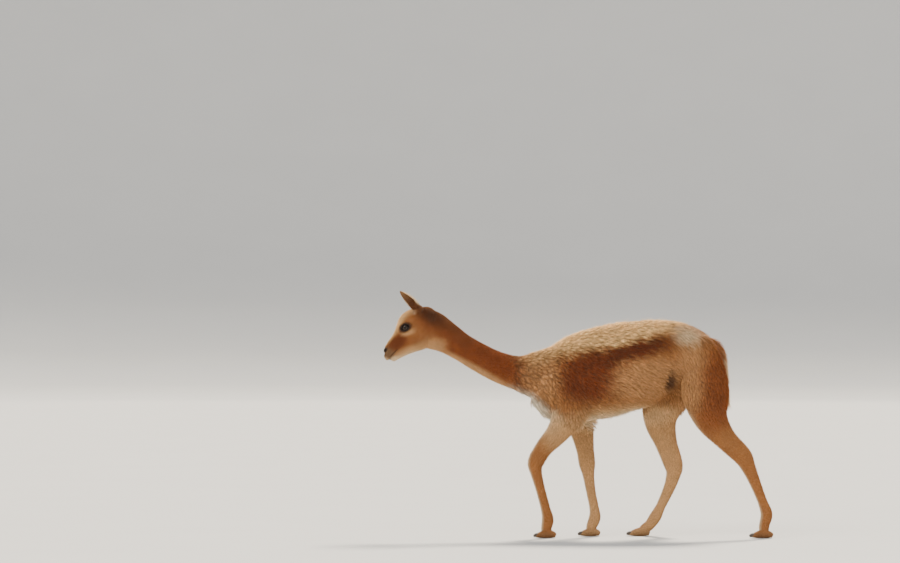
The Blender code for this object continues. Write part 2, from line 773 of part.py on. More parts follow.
def toe_sections(leg, outward):
    """The sections of one toe, from the heel pad to the tip."""
    side = leg.sign * leg.landmarks[-1].side
    length = leg.heel - leg.toe
    rows = (
        (0.03, 0.010, 0.55, 0.70, 0.3),
        (0.18, 0.015, 0.90, 0.95, 0.4),
        (0.45, 0.018, 1.10, 1.00, 0.6),
        (0.72, 0.015, 0.95, 0.95, 0.8),
        (0.90, 0.011, 0.70, 0.75, 1.0),
        (1.00, 0.008, 0.30, 0.35, 1.0),
    )
    sections = []
    for share, height, depth, width, spread in rows:
        offset = outward * (TOE_OFFSET + TOE_SPREAD * spread - TOE_SPREAD / 2)
        sections.append((leg.heel - length * share, side + offset, height,
                         TOE_HALF_HEIGHT * depth, TOE_HALF_WIDTH * width))
    return sections


def nail_sections(leg, outward):
    """The sections of the nail on one toe."""
    side = leg.sign * leg.landmarks[-1].side + outward * (TOE_OFFSET + TOE_SPREAD / 2)
    base = leg.toe + 0.010
    return [
        (base, side, 0.0130, NAIL_RADIUS * 0.9, NAIL_RADIUS),
        (base - NAIL_LENGTH * 0.5, side, 0.0115, NAIL_RADIUS * 0.85, NAIL_RADIUS * 0.85),
        (base - NAIL_LENGTH * 0.85, side, 0.0085, NAIL_RADIUS * 0.60, NAIL_RADIUS * 0.55),
        (base - NAIL_LENGTH, side, 0.0060, NAIL_RADIUS * 0.25, NAIL_RADIUS * 0.25),
    ]


def build_foot(name, leg, parts, helpers, materials):
    """One foot below the fetlock, with its two toes flat on the floor and their nails."""
    x, z = leg.path[-1]
    side = leg.sign * leg.landmarks[-1].side
    middle = leg.toe + TOE_ROOT * (leg.heel - leg.toe)
    sections = leg_sections(leg, FETLOCK - 2)
    sections.append(((x + middle) / 2, side, (z + TOE_HALF_HEIGHT) / 2, 0.022, 0.026))
    sections.append((middle, side, TOE_HALF_HEIGHT, 0.017, 0.024))
    forms = [loft("pastern", sections, helpers)]
    for outward in (-1, 1):
        forms.append(loft("toe", toe_sections(leg, outward), helpers, sides=20))
    foot = fused(forms, name + "_foot", FOOT_VOXEL, smoothing=3)
    foot = simplified(foot, FOOT_TRIANGLES)
    cut = joint_cut(leg, FETLOCK)
    down = cut.normal.normalized()
    foot = cut_flat(foot, cut.centre + down * GAP / 2, -down)
    foot = cut_flat(foot, Vector(), Vector((0.0, 0.0, -1.0)))
    move_to(foot, parts)
    foot.data.materials.clear()
    foot.data.materials.append(materials["coat"])
    cleaned(foot)
    for outward, side_name in ((-1, "a"), (1, "b")):
        nail = loft("nail_" + name[4:] + "_" + side_name, nail_sections(leg, outward), parts,
                    sides=NAIL_SIDES, steps=1)
        grown_copy(foot, CLEARANCE, helpers)
        boolean(nail, helpers)
        remove_objects(helpers.objects)
        nail.data.materials.clear()
        nail.data.materials.append(materials["nail"])
        nail = cut_flat(nail, Vector((0.0, 0.0, FLOOR_CLEARANCE)), Vector((0.0, 0.0, -1.0)))
        cleaned(keep_largest(nail))


def surface_of(thing):
    """A search tree of an object's surface."""
    bm = bmesh.new()
    bm.from_mesh(thing.data)
    tree = BVHTree.FromBMesh(bm)
    bm.free()
    return tree


def add_lock(surface, root, direction, length, width, rings, collection):
    """Adds one flat, tapered lock that follows the surface from its root to its free tip."""
    bm = bmesh.new()
    spot, normal = surface.find_nearest(root)[:2]
    loops = []
    travelled = 0.0
    for ring in rings:
        along = (direction - normal * direction.dot(normal)).normalized()
        step = ring.along * length - travelled
        travelled = ring.along * length
        spot, normal = surface.find_nearest(spot + along * step)[:2]
        along = (direction - normal * direction.dot(normal)).normalized()
        across = normal.cross(along)
        frame = Matrix((across * width / 2 * ring.width, normal * ring.half_thickness, along))
        frame = frame.transposed().to_4x4()
        frame.translation = spot + normal * ring.height
        loops.append(bmesh.ops.create_circle(bm, segments=4, radius=1.0, matrix=frame)["verts"])
    bridge_rings(bm, loops)
    return object_from(bm, "lock", collection)


def trunk_section(x):
    """The height of the trunk's middle at a place along the body."""
    for (x0, back0, belly0, _), (x1, back1, belly1, _) in zip(TRUNK, TRUNK[1:]):
        if x0 <= x <= x1:
            share = (x - x0) / (x1 - x0)
            return ((back0 + belly0) * (1 - share) + (back1 + belly1) * share) / 2
    return (TRUNK[-1][1] + TRUNK[-1][2]) / 2


def add_fleece(torso, collection):
    """Sets the staggered rows of wide locks on the trunk."""
    draw = Random(SEED)
    surface = surface_of(torso)
    for row in range(FLEECE.rows):
        x = FLEECE.first + (FLEECE.last - FLEECE.first) * row / (FLEECE.rows - 1)
        middle = Vector((x, 0.0, trunk_section(x)))
        count = FLEECE.per_row - row % 2
        for i in range(count):
            angle = FLEECE.spread * (2 * i / (count - 1) - 1) * (1 if count % 2 else 0.90)
            outwards = Vector((0.0, sin(angle), cos(angle)))
            spot = surface.ray_cast(middle, outwards)[0]
            spot.x += draw.uniform(-FLEECE_JITTER, FLEECE_JITTER)
            spot.y += draw.uniform(-FLEECE_JITTER, FLEECE_JITTER) / 2
            lie = Vector((1.0, 0.10 * draw.uniform(-1, 1), -FLEECE_SLOPE * abs(sin(angle))))
            length = FLEECE.length * draw.uniform(0.88, 1.12)
            width = FLEECE.width * draw.uniform(0.88, 1.08)
            add_lock(surface, spot, lie, length, width, FLEECE_LOCK, collection)


def add_bib(torso, collection):
    """Sets the long pale locks of the chest."""
    draw = Random(SEED + 1)
    surface = surface_of(torso)
    for row, (x, z, half_width) in enumerate(BIB_ROWS):
        count = BIB_PER_ROW - row % 2
        for i in range(count):
            side = half_width * (2 * i / (count - 1) - 1)
            lie = Vector((0.42 + 0.08 * draw.uniform(-1, 1), 0.35 * side / half_width, -1.0))
            length = BIB_LENGTH * draw.uniform(0.85, 1.15)
            add_lock(surface, Vector((x, side, z)), lie, length, BIB_WIDTH, HAIR_LOCK, collection)


def add_tail_hair(core, collection):
    """Sets the hanging locks of the tail, row over row, out to the tip."""
    draw = Random(SEED + 2)
    surface = surface_of(core)
    for row in range(TAIL_ROWS):
        place = 1.2 + 3.6 * row / (TAIL_ROWS - 1)
        low = TAIL[int(place)]
        high = TAIL[int(place) + 1]
        share = place - int(place)
        x, z, depth, width = (a * (1 - share) + b * share for a, b in zip(low, high))
        for i in range(TAIL_PER_ROW):
            side = (i - (TAIL_PER_ROW - 1) / 2) * 0.62 * width + draw.uniform(-1, 1) * TAIL_JITTER
            lie = Vector((0.10, 0.25 * side / width + 0.06 * draw.uniform(-1, 1), -1.0))
            length = TAIL_LOCK_LENGTH * draw.uniform(0.85, 1.1) * (1.0 - 0.08 * row)
            spot = Vector((x + depth, side, z))
            add_lock(surface, spot, lie, length, TAIL_LOCK_WIDTH, HAIR_LOCK, collection)


def build_tail(parts, helpers, torso, material):
    """The tail with its hanging hair, close against the rump."""
    tail = loft("tail", [(x, 0.0, z, d, w) for x, z, d, w in TAIL], parts, sides=14, steps=1)
    add_tail_hair(tail, helpers)
    boolean(tail, helpers, "UNION", "MANIFOLD")
    remove_objects(helpers.objects)
    grown_copy(torso, CLEARANCE, helpers)
    boolean(tail, helpers, "DIFFERENCE", "MANIFOLD")
    remove_objects(helpers.objects)
    tail.data.materials.clear()
    tail.data.materials.append(material)
    return cleaned(keep_largest(tail))


def clothe_torso(torso, tail, helpers):
    """Fuses the fleece and the bib with the torso, and keeps them clear of the tail."""
    add_fleece(torso, helpers)
    add_bib(torso, helpers)
    boolean(torso, helpers, "UNION", "MANIFOLD")
    remove_objects(helpers.objects)
    grown_copy(tail, GAP, helpers)
    boolean(torso, helpers, "DIFFERENCE", "MANIFOLD")
    remove_objects(helpers.objects)
    return cleaned(keep_largest(torso))


def shade(parts):
    """Shades the solids smooth, with their sharp edges kept."""
    for thing in parts.objects:
        thing.data.shade_smooth()
        thing.data.set_sharp_from_angle(angle=radians(50))


def main():
    """Builds the animal."""
    clear_scene()
    parts = make_collection("vicuna")
    helpers = make_collection("helpers")
    materials = {name: make_material(name) for name in COLOURS}
    pieces = build_body(parts, helpers, materials["coat"])
    head = build_head(parts, helpers, materials)
    build_ears(parts, helpers, head, materials["coat"])
    for name, leg in LEGS.items():
        build_foot(name, leg, parts, helpers, materials)
    tail = build_tail(parts, helpers, pieces["torso"], materials["pale coat"])
    clothe_torso(pieces["torso"], tail, helpers)
    shade(parts)


main()
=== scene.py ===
"""The looks of the life-size vicuna: skin, eyes, lashes, toenails, mesh coat and the stage.

Metres, +Z up. The head points to -X, the animal's left side faces -Y, and the feet stand at z = 0.
"""

from collections import namedtuple
from math import cos, pi, radians, sin, sqrt

import bmesh
import bpy
import numpy as np
from bpy.props import (EnumProperty, FloatProperty, FloatVectorProperty, IntProperty,
                       PointerProperty)
from mathutils import Matrix, Vector
from mathutils.bvhtree import BVHTree


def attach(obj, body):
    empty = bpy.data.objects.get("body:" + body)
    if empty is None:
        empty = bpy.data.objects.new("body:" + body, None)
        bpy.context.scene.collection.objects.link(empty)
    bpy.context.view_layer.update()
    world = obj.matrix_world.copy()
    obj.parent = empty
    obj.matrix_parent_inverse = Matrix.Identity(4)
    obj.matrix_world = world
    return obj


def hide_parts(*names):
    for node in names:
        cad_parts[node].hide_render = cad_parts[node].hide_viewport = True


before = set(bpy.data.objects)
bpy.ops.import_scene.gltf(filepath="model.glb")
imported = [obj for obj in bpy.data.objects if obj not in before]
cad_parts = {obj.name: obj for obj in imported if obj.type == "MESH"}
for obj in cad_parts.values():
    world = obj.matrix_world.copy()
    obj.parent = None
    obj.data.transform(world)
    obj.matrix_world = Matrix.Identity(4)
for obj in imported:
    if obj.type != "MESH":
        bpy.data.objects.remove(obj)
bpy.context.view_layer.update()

bl_info = {
    "name": "Vicuna model looks",
    "version": (1, 0, 0),
    "blender": (4, 5, 0),
    "location": "3D View > Sidebar > Vicuna",
    "description": "Dresses the life-size vicuna with its skin, eyes, nails, coat and stage",
    "category": "Add Mesh",
}

LEFT = -1
RIGHT = 1

# The trunk, from the chest to the rump: place along the body, back, belly, half width
TRUNK = (
    (-0.206, 0.744, 0.576, 0.052),
    (-0.159, 0.786, 0.520, 0.078),
    (-0.108, 0.820, 0.500, 0.098),
    (-0.032, 0.863, 0.495, 0.112),
    (0.053, 0.890, 0.495, 0.125),
    (0.159, 0.914, 0.514, 0.138),
    (0.266, 0.923, 0.548, 0.140),
    (0.351, 0.926, 0.600, 0.132),
    (0.436, 0.916, 0.655, 0.122),
    (0.521, 0.882, 0.620, 0.112),
    (0.572, 0.838, 0.610, 0.086),
    (0.594, 0.800, 0.650, 0.052),
)

# The neck, the head and the tail, from root to tip: place, height, half depth, half width
NECK = (
    (-0.130, 0.690, 0.120, 0.086),
    (-0.206, 0.692, 0.094, 0.072),
    (-0.269, 0.701, 0.075, 0.058),
    (-0.342, 0.725, 0.067, 0.050),
    (-0.414, 0.761, 0.063, 0.045),
    (-0.489, 0.805, 0.061, 0.042),
    (-0.550, 0.844, 0.068, 0.043),
    (-0.610, 0.876, 0.081, 0.045),
    (-0.652, 0.901, 0.072, 0.043),
)
HEAD = (
    (-0.597, 0.940, 0.024, 0.028),
    (-0.623, 0.931, 0.058, 0.044),
    (-0.642, 0.912, 0.077, 0.049),
    (-0.667, 0.893, 0.090, 0.051),
    (-0.691, 0.873, 0.091, 0.051),
    (-0.714, 0.851, 0.078, 0.046),
    (-0.737, 0.830, 0.062, 0.036),
    (-0.760, 0.811, 0.051, 0.030),
    (-0.785, 0.792, 0.043, 0.027),
    (-0.809, 0.780, 0.030, 0.023),
    (-0.818, 0.779, 0.016, 0.014),
)
TAIL = (
    (0.552, 0.846, 0.012, 0.018),
    (0.584, 0.822, 0.019, 0.027),
    (0.609, 0.775, 0.021, 0.033),
    (0.620, 0.705, 0.021, 0.036),
    (0.624, 0.640, 0.020, 0.034),
    (0.631, 0.585, 0.016, 0.028),
)

# The head's own form starts with the part of the neck that lies ahead of this
FRONT_OF_NECK = -0.40

# Rounded masses on the head, on both sides: centre, radii along, across and up, nose-down pitch
Mass = namedtuple("Mass", "centre radii pitch")
HEAD_MASSES = {
    "nose pad": Mass((-0.8085, 0.006, 0.7935), (0.0165, 0.0125, 0.0150), 40),
    "nostril wing": Mass((-0.8060, 0.0150, 0.7950), (0.0120, 0.0065, 0.0085), 40),
    "upper lip": Mass((-0.8060, 0.008, 0.7680), (0.0165, 0.0135, 0.0190), 20),
    "chin": Mass((-0.7780, 0.006, 0.7650), (0.0200, 0.0145, 0.0170), 40),
    "cheek": Mass((-0.6820, 0.029, 0.8560), (0.0560, 0.0215, 0.0470), 30),
    "cheek bone": Mass((-0.7380, 0.0285, 0.8620), (0.0330, 0.0125, 0.0100), 38),
    "orbit": Mass((-0.7300, 0.026, 0.8910), (0.0300, 0.0215, 0.0255), 25),
    "brow": Mass((-0.7160, 0.029, 0.9200), (0.0280, 0.0150, 0.0110), 20),
    "ear root": Mass((-0.6770, 0.0310, 0.9640), (0.0250, 0.0190, 0.0200), 50),
    "nape": Mass((-0.6080, 0.0, 0.9290), (0.0620, 0.0330, 0.0330), -24),
}

# The eyes and their lids
EYE_CENTRE = Vector((-0.7300, 0.0275, 0.8905))
EYE_RADIUS = 0.020
LID_COVER = 0.0032
EYE_OPENING_LENGTH = 0.0364
EYE_OPENING_HEIGHT = 0.0265
EYE_SLANT = radians(24)
EYE_FORWARD = radians(9)
LID_SKIN_LENGTH = 0.0450
LID_SKIN_HEIGHT = 0.0320
EYE_SHADOW_LENGTH = 0.0600
EYE_SHADOW_HEIGHT = 0.0400
EYE_ROOM = 0.0003
EYE_CUTTER_LENGTH = 0.05
ALMOND_FULLNESS = 0.8
LID_RIM = 0.0013
LID_RIM_BREADTH = 1.25
LID_FOLD = ((-0.754, 0.892), (-0.745, 0.908), (-0.730, 0.916), (-0.713, 0.913), (-0.701, 0.903))
LOWER_FOLD = ((-0.748, 0.871), (-0.733, 0.866), (-0.716, 0.872))

# The width and depth of the grooves along the mouth and the folds
MOUTH_GROOVE = (0.0048, 0.0042)
LID_GROOVE = (0.0046, 0.0022)
LOWER_GROOVE = (0.0040, 0.0014)

# The eyeball: its iris and long pupil, and the bulge of its cornea
IRIS_RADIUS = 0.0125
IRIS_START = 0.36
PUPIL_EDGE = 0.34
PUPIL_STRETCH = 1.55
PUPIL_SHADE = 0.8
CORNEA_BULGE = 0.0011

# The lashes: how far along the lids they stand, how they spread, and the half thickness of each
# from root to tip
Lash = namedtuple("Lash", "length droop curl")
UPPER_LASH = Lash(0.0105, -0.10, 0.40)
LOWER_LASH = Lash(0.0050, -0.55, -0.20)
LASH_REACH = 0.0160
LASH_FAN = 18
LASH_RANGE = (0.7, 1.1)
LASH_RINGS = ((0.0, 0.00032), (0.5, 0.00026), (1.0, 0.00006))

# The line of the mouth and the nostrils, seen from the side, and the cleft of the upper lip
MOUTH_LINE = ((-0.767, 0.797), (-0.777, 0.785), (-0.791, 0.769), (-0.806, 0.742))
NOSTRIL_CENTRE = Vector((-0.8165, 0.0135, 0.7950))
NOSTRIL_RADII = (0.0092, 0.0075, 0.0038)
NOSTRIL_PITCH = radians(35)
CLEFT_HALF_WIDTH = 0.0035
CLEFT_DEPTH = 0.0034
CLEFT_HEIGHTS = (0.742, 0.785)
CLEFT_FACING = -0.4

# The ears
EAR_ROOT = Vector((-0.6800, 0.0340, 0.9700))
EAR_TIP = Vector((-0.7560, 0.0560, 1.0460))
EAR_FACING = Vector((-0.40, 0.90, -0.22))
EAR_HALF_WIDTH = 0.0215
EAR_HALF_DEPTH = 0.0135
EAR_WALL = 0.0034
EAR_THINNEST = 0.0010
EAR_BEND = 0.05
EAR_RINGS = 22
EAR_SIDES = 28

# How an ear swells from root to tip, and where the leaf and the hollow of its cup start and
# stop, as shares of its length
EAR_SWELL_START = 0.30
EAR_FULLNESS = 0.75
EAR_LEAST_SWELL = 0.04
EAR_SPAN = (-0.16, 1.0)
CUP_SPAN = (0.14, 0.95)
CUP_FLOOR = 0.30
CUP_ROUNDING = 0.26
CUP_FORWARD = 0.45

# The legs, from the trunk down, as half depth, half width and distance from the body's middle
Landmark = namedtuple("Landmark", "half_depth half_width side")
FORE_LANDMARKS = (
    Landmark(0.093, 0.040, 0.070),   # shoulder
    Landmark(0.088, 0.045, 0.078),   # upper arm
    Landmark(0.077, 0.042, 0.080),   # elbow
    Landmark(0.053, 0.034, 0.078),   # forearm
    Landmark(0.040, 0.028, 0.077),   # above the knee
    Landmark(0.037, 0.027, 0.076),   # knee
    Landmark(0.027, 0.024, 0.076),   # below the knee
    Landmark(0.022, 0.020, 0.076),   # cannon
    Landmark(0.022, 0.021, 0.076),   # above the fetlock
    Landmark(0.026, 0.025, 0.076),   # fetlock
    Landmark(0.023, 0.026, 0.076),   # pastern
)
HIND_LANDMARKS = (
    Landmark(0.068, 0.040, 0.060),   # hip
    Landmark(0.098, 0.052, 0.066),   # thigh
    Landmark(0.100, 0.056, 0.072),   # stifle
    Landmark(0.074, 0.047, 0.078),   # gaskin
    Landmark(0.050, 0.038, 0.082),   # lower gaskin
    Landmark(0.043, 0.030, 0.084),   # hock
    Landmark(0.033, 0.026, 0.085),   # below the hock
    Landmark(0.026, 0.021, 0.085),   # cannon
    Landmark(0.022, 0.020, 0.085),   # above the fetlock
    Landmark(0.026, 0.025, 0.085),   # fetlock
    Landmark(0.023, 0.026, 0.085),   # pastern
)
FETLOCK = 9
Leg = namedtuple("Leg", "sign landmarks path toe heel")
LEGS = {
    "front_left": Leg(LEFT, FORE_LANDMARKS, (
        (-0.049, 0.701), (-0.040, 0.616), (-0.041, 0.530), (-0.083, 0.451), (-0.145, 0.380),
        (-0.179, 0.320), (-0.178, 0.280), (-0.160, 0.210), (-0.136, 0.120), (-0.128, 0.077),
        (-0.134, 0.043)), -0.181, -0.091),
    "front_right": Leg(RIGHT, FORE_LANDMARKS, (
        (-0.023, 0.701), (-0.015, 0.616), (0.004, 0.530), (0.021, 0.446), (0.034, 0.372),
        (0.043, 0.306), (0.048, 0.264), (0.059, 0.190), (0.074, 0.115), (0.075, 0.077),
        (0.062, 0.043)), 0.011, 0.100),
    "hind_left": Leg(LEFT, HIND_LANDMARKS, (
        (0.512, 0.816), (0.533, 0.700), (0.541, 0.600), (0.563, 0.506), (0.622, 0.422),
        (0.694, 0.350), (0.721, 0.300), (0.748, 0.238), (0.780, 0.156), (0.798, 0.102),
        (0.789, 0.058)), 0.733, 0.827),
    "hind_right": Leg(RIGHT, HIND_LANDMARKS, (
        (0.487, 0.795), (0.430, 0.690), (0.376, 0.590), (0.355, 0.497), (0.379, 0.400),
        (0.411, 0.306), (0.411, 0.262), (0.391, 0.200), (0.356, 0.125), (0.334, 0.082),
        (0.310, 0.048)), 0.219, 0.312),
}

# The rounded top of a leg, inside the trunk: shares of the leg's first length, depth and width
LEG_TOP_RISE = 0.35
LEG_TOP_DEPTH = 0.55
LEG_TOP_WIDTH = 0.5
LEG_TOP_INWARDS = 0.012

# The feet: two toes with pads and a nail on each, under the end of the pastern
PASTERN_MIDDLE = (0.022, 0.026)
PASTERN_END = (0.017, 0.024)
TOE_OFFSET = 0.0155
TOE_SPREAD = 0.0050
TOE_HALF_WIDTH = 0.0145
TOE_HALF_HEIGHT = 0.0170
TOE_ROOT = 0.55

# A toe from heel to tip: share of its length, height, then shares of its half height, its half
# width and the spread between the toes
TOE_ROWS = (
    (0.03, 0.010, 0.55, 0.70, 0.3),
    (0.18, 0.015, 0.90, 0.95, 0.4),
    (0.45, 0.018, 1.10, 1.00, 0.6),
    (0.72, 0.014, 0.84, 0.95, 0.8),
    (0.90, 0.010, 0.55, 0.75, 1.0),
    (1.00, 0.007, 0.25, 0.35, 1.0),
)

# A nail from root to tip: place along it, height, then shares of its radius up and across
NAIL_ROWS = (
    (0.0040, 0.0135, 0.80, 0.90),
    (0.0000, 0.0132, 0.95, 1.00),
    (-0.0085, 0.0115, 0.85, 0.85),
    (-0.01445, 0.0085, 0.60, 0.55),
    (-0.0170, 0.0060, 0.22, 0.22),
)
NAIL_ROOT = 0.010
NAIL_RADIUS = 0.0078
NAIL_LOWEST = 0.0010

# Where the finer skins of the head and feet meet the body's: the part, the middle, the way out
# to the part and how far round the middle it reaches
Joint = namedtuple("Joint", "part centre outwards reach")
HEAD_JOINT = Joint("head", Vector((-0.612, 0.0, 0.876)), Vector((-1.0, 0.0, 0.0)), 0.13)
FOOT_JOINT_REACH = 0.055
JOINT_HALF_GAP = 0.0015
JOINT_SOFTENED = 0.008

# The coat's lie, length, depth over the skin, tuft width and layers, at places over the body.
# Lengths, depths and widths are in millimetres. Each place is given for the right side, and
# stands for both sides; the legs' own places follow from their landmarks.
Station = namedtuple("Station", "region place lie length depth width layers")
STATIONS = [Station(*row) for row in (
    ("head", (-0.815, 0.012, 0.785), (0.70, 0.10, 0.60), 3.2, 0.9, 0.52, 0.99),
    ("head", (-0.780, 0.012, 0.755), (0.92, 0.05, 0.05), 5.0, 1.4, 0.75, 1.21),
    ("head", (-0.775, 0.020, 0.825), (0.72, 0.15, 0.60), 4.0, 1.1, 0.68, 1.21),
    ("head", (-0.740, 0.020, 0.925), (0.62, 0.15, 0.76), 5.5, 1.7, 0.83, 1.43),
    ("head", (-0.690, 0.000, 0.965), (0.85, 0.00, 0.45), 8.0, 2.6, 0.90, 1.65),
    ("head", (-0.735, 0.045, 0.855), (0.90, 0.05, 0.15), 5.5, 1.6, 0.75, 1.43),
    ("head", (-0.690, 0.050, 0.850), (0.95, 0.05, -0.15), 7.5, 2.2, 0.90, 1.54),
    ("head", (-0.720, 0.015, 0.785), (0.95, 0.00, 0.00), 8.0, 2.6, 0.90, 1.54),
    ("head", (-0.660, 0.030, 0.800), (0.90, 0.00, -0.30), 10.0, 3.4, 1.05, 1.76),
    ("head", (-0.640, 0.035, 0.960), (0.90, 0.00, -0.20), 11.0, 4.0, 1.05, 1.76),
    ("head", (-0.690, 0.042, 0.940), (0.80, 0.20, -0.10), 7.5, 2.4, 0.83, 1.54),
    ("ear", (-0.700, 0.040, 0.990), (-0.62, 0.18, 0.76), 6.0, 0.9, 0.90, 1.00),
    ("ear", (-0.725, 0.047, 1.015), (-0.62, 0.18, 0.76), 6.5, 0.8, 0.90, 1.00),
    ("ear", (-0.755, 0.056, 1.044), (-0.62, 0.18, 0.76), 5.5, 0.6, 0.75, 1.00),
    ("neck", (-0.600, 0.040, 0.900), (0.86, 0.00, -0.50), 13.0, 6.0, 1.10, 2.60),
    ("neck", (-0.590, 0.000, 0.800), (0.86, 0.00, -0.48), 15.0, 6.5, 1.10, 2.60),
    ("neck", (-0.460, 0.045, 0.790), (0.87, 0.00, -0.50), 16.0, 7.5, 1.10, 2.60),
    ("neck", (-0.330, 0.052, 0.720), (0.87, 0.00, -0.50), 18.0, 8.5, 1.17, 2.73),
    ("shoulder", (-0.240, 0.030, 0.775), (0.97, 0.05, -0.15), 24.0, 10.0, 1.80, 3.22),
    ("shoulder", (-0.225, 0.070, 0.690), (0.86, 0.05, -0.50), 24.0, 10.0, 1.80, 3.22),
    ("bib", (-0.225, 0.015, 0.605), (0.60, 0.06, -0.80), 38.0, 11.0, 1.90, 2.80),
    ("bib", (-0.170, 0.030, 0.545), (0.55, 0.08, -0.83), 46.0, 13.0, 2.00, 2.90),
    ("shoulder", (-0.140, 0.095, 0.720), (0.85, 0.05, -0.50), 28.0, 12.0, 1.90, 3.33),
    ("shoulder", (-0.130, 0.100, 0.610), (0.70, 0.05, -0.70), 26.0, 10.0, 1.90, 3.22),
    ("back", (-0.120, 0.020, 0.815), (0.98, 0.06, 0.15), 32.0, 13.0, 2.00, 3.45),
    ("back", (0.020, 0.000, 0.875), (0.99, 0.00, 0.08), 36.0, 14.0, 2.10, 3.56),
    ("back", (0.200, 0.000, 0.918), (1.00, 0.00, 0.02), 38.0, 15.0, 2.10, 3.56),
    ("back", (0.380, 0.000, 0.925), (0.98, 0.00, -0.15), 36.0, 14.0, 2.10, 3.56),
    ("back", (0.060, 0.100, 0.830), (0.92, 0.10, -0.36), 38.0, 14.0, 2.10, 3.56),
    ("back", (0.280, 0.105, 0.860), (0.92, 0.10, -0.36), 40.0, 14.0, 2.10, 3.56),
    ("flank", (0.030, 0.115, 0.700), (0.90, 0.03, -0.44), 32.0, 12.0, 2.00, 2.90),
    ("flank", (0.200, 0.135, 0.700), (0.90, 0.03, -0.42), 30.0, 11.0, 2.00, 2.90),
    ("flank", (0.330, 0.125, 0.730), (0.90, 0.03, -0.40), 28.0, 10.0, 1.90, 2.80),
    ("flank", (0.060, 0.050, 0.500), (0.95, 0.00, -0.28), 26.0, 9.0, 2.00, 2.80),
    ("flank", (0.220, 0.050, 0.535), (0.95, 0.00, -0.20), 28.0, 9.0, 2.00, 2.80),
    ("flank", (0.380, 0.080, 0.650), (0.75, 0.00, -0.65), 20.0, 7.0, 1.80, 2.60),
    ("rump", (0.490, 0.000, 0.905), (0.86, 0.00, -0.50), 34.0, 13.0, 2.00, 3.00),
    ("rump", (0.470, 0.100, 0.820), (0.60, 0.05, -0.80), 28.0, 10.0, 1.90, 2.90),
    ("rump", (0.560, 0.070, 0.820), (0.40, 0.05, -0.90), 30.0, 12.0, 1.90, 2.90),
    ("rump", (0.600, 0.060, 0.720), (0.22, 0.02, -0.97), 28.0, 11.0, 1.90, 2.90),
    ("tail", (0.610, 0.000, 0.800), (0.30, 0.06, -0.95), 40.0, 8.0, 1.90, 3.10),
    ("tail", (0.635, 0.012, 0.700), (0.16, 0.10, -0.98), 56.0, 9.0, 2.00, 3.60),
    ("tail", (0.640, 0.012, 0.600), (0.18, 0.10, -0.98), 58.0, 8.0, 2.00, 4.10),
)]
# Length, depth, tuft width and layers of the coat at each landmark of a leg
FORE_COAT = ((28, 11, 1.9, 2.8), (26, 9, 1.9, 2.7), (20, 7, 1.8, 2.3), (14, 4.5, 1.4, 1.0),
             (11, 3.4, 1.3, 0.65), (9, 2.8, 1.3, 0.52), (9, 2.4, 1.3, 0.5), (9, 2.2, 1.3, 0.5),
             (9, 2.2, 1.3, 0.5), (7, 1.8, 1.2, 0.55), (5.5, 1.5, 1.0, 0.55))
HIND_COAT = ((26, 10, 1.9, 2.8), (24, 9, 1.9, 2.7), (20, 7, 1.8, 2.3), (15, 5, 1.4, 1.1),
             (12, 4.0, 1.3, 0.75), (9, 3.0, 1.3, 0.52), (9, 2.6, 1.3, 0.5), (9, 2.2, 1.3, 0.5),
             (9, 2.2, 1.3, 0.5), (7, 1.8, 1.2, 0.55), (5.5, 1.5, 1.0, 0.55))
LEG_REGIONS = ("thigh", "thigh", "thigh", "leg", "leg", "leg", "leg", "leg", "leg", "foot", "foot")
THIGH_OUTWARDS = 0.03

# How fast a place of the table gives way to the next one, with distance
NEARNESS = 3.6
LEAST_DISTANCE = 0.004
MM = 0.001

# The short hair round the eyes lies outwards: how far, how strongly, and how much shorter it is
EYE_WHORL_REACH = 2.1
EYE_WHORL_PULL = 2.4
EYE_WHORL_SHORTENING = 0.5

# The pieces of the coat: the regions they cover and, where they are split, the side
COAT_PIECES = {
    "coat_head_left": (("head",), LEFT),
    "coat_head_right": (("head",), RIGHT),
    "coat_ears": (("ear",), 0),
    "coat_neck_left": (("neck",), LEFT),
    "coat_neck_right": (("neck",), RIGHT),
    "coat_shoulders": (("shoulder", "bib"), 0),
    "coat_back_left": (("back",), LEFT),
    "coat_back_right": (("back",), RIGHT),
    "coat_flank_left": (("flank",), LEFT),
    "coat_flank_right": (("flank",), RIGHT),
    "coat_rump": (("rump",), 0),
    "coat_thighs_left": (("thigh",), LEFT),
    "coat_thighs_right": (("thigh",), RIGHT),
    "coat_legs_left": (("leg", "foot"), LEFT),
    "coat_legs_right": (("leg", "foot"), RIGHT),
    "coat_tail": (("tail",), 0),
}
LONG_REGIONS = ("shoulder", "bib", "back", "flank", "rump", "thigh", "tail")
CURVED_REGIONS = ("tail",)
PIECE_LIMIT = 200000
SKIN_LOWEST = 0.0006
COAT_LOWEST = 0.0004

# The shapes of a tuft: where its rings stand along it, their heights over the skin and widths
# as shares of the coat's, the height of its tip, how far it follows a lie that points out of the
# skin, and the share of tufts that are wisps
Tuft = namedtuple("Tuft", "shares heights widths tip_height onward wisps")
TUFTS = {
    "curved": Tuft((0.0, 0.38, 0.74), (-0.05, 0.62, 0.98), (0.70, 1.0, 0.66), 1.0, 0.75, 0.09),
    "long": Tuft((0.0, 0.50), (-0.08, 0.80), (0.85, 0.85), 1.0, 0.75, 0.09),
    "short": Tuft((0.36,), (0.62,), (1.0,), 0.78, 0.0, 0.03),
}
ROOT_DEPTH = 0.15
EDGE_DROP = 0.25
RIDGE_RISE = 0.45

# Wisps are thinner, longer tufts that stand off the coat
WISP_WIDTH = 0.4
WISP_LENGTH = 1.2
WISP_HEIGHT = 1.6

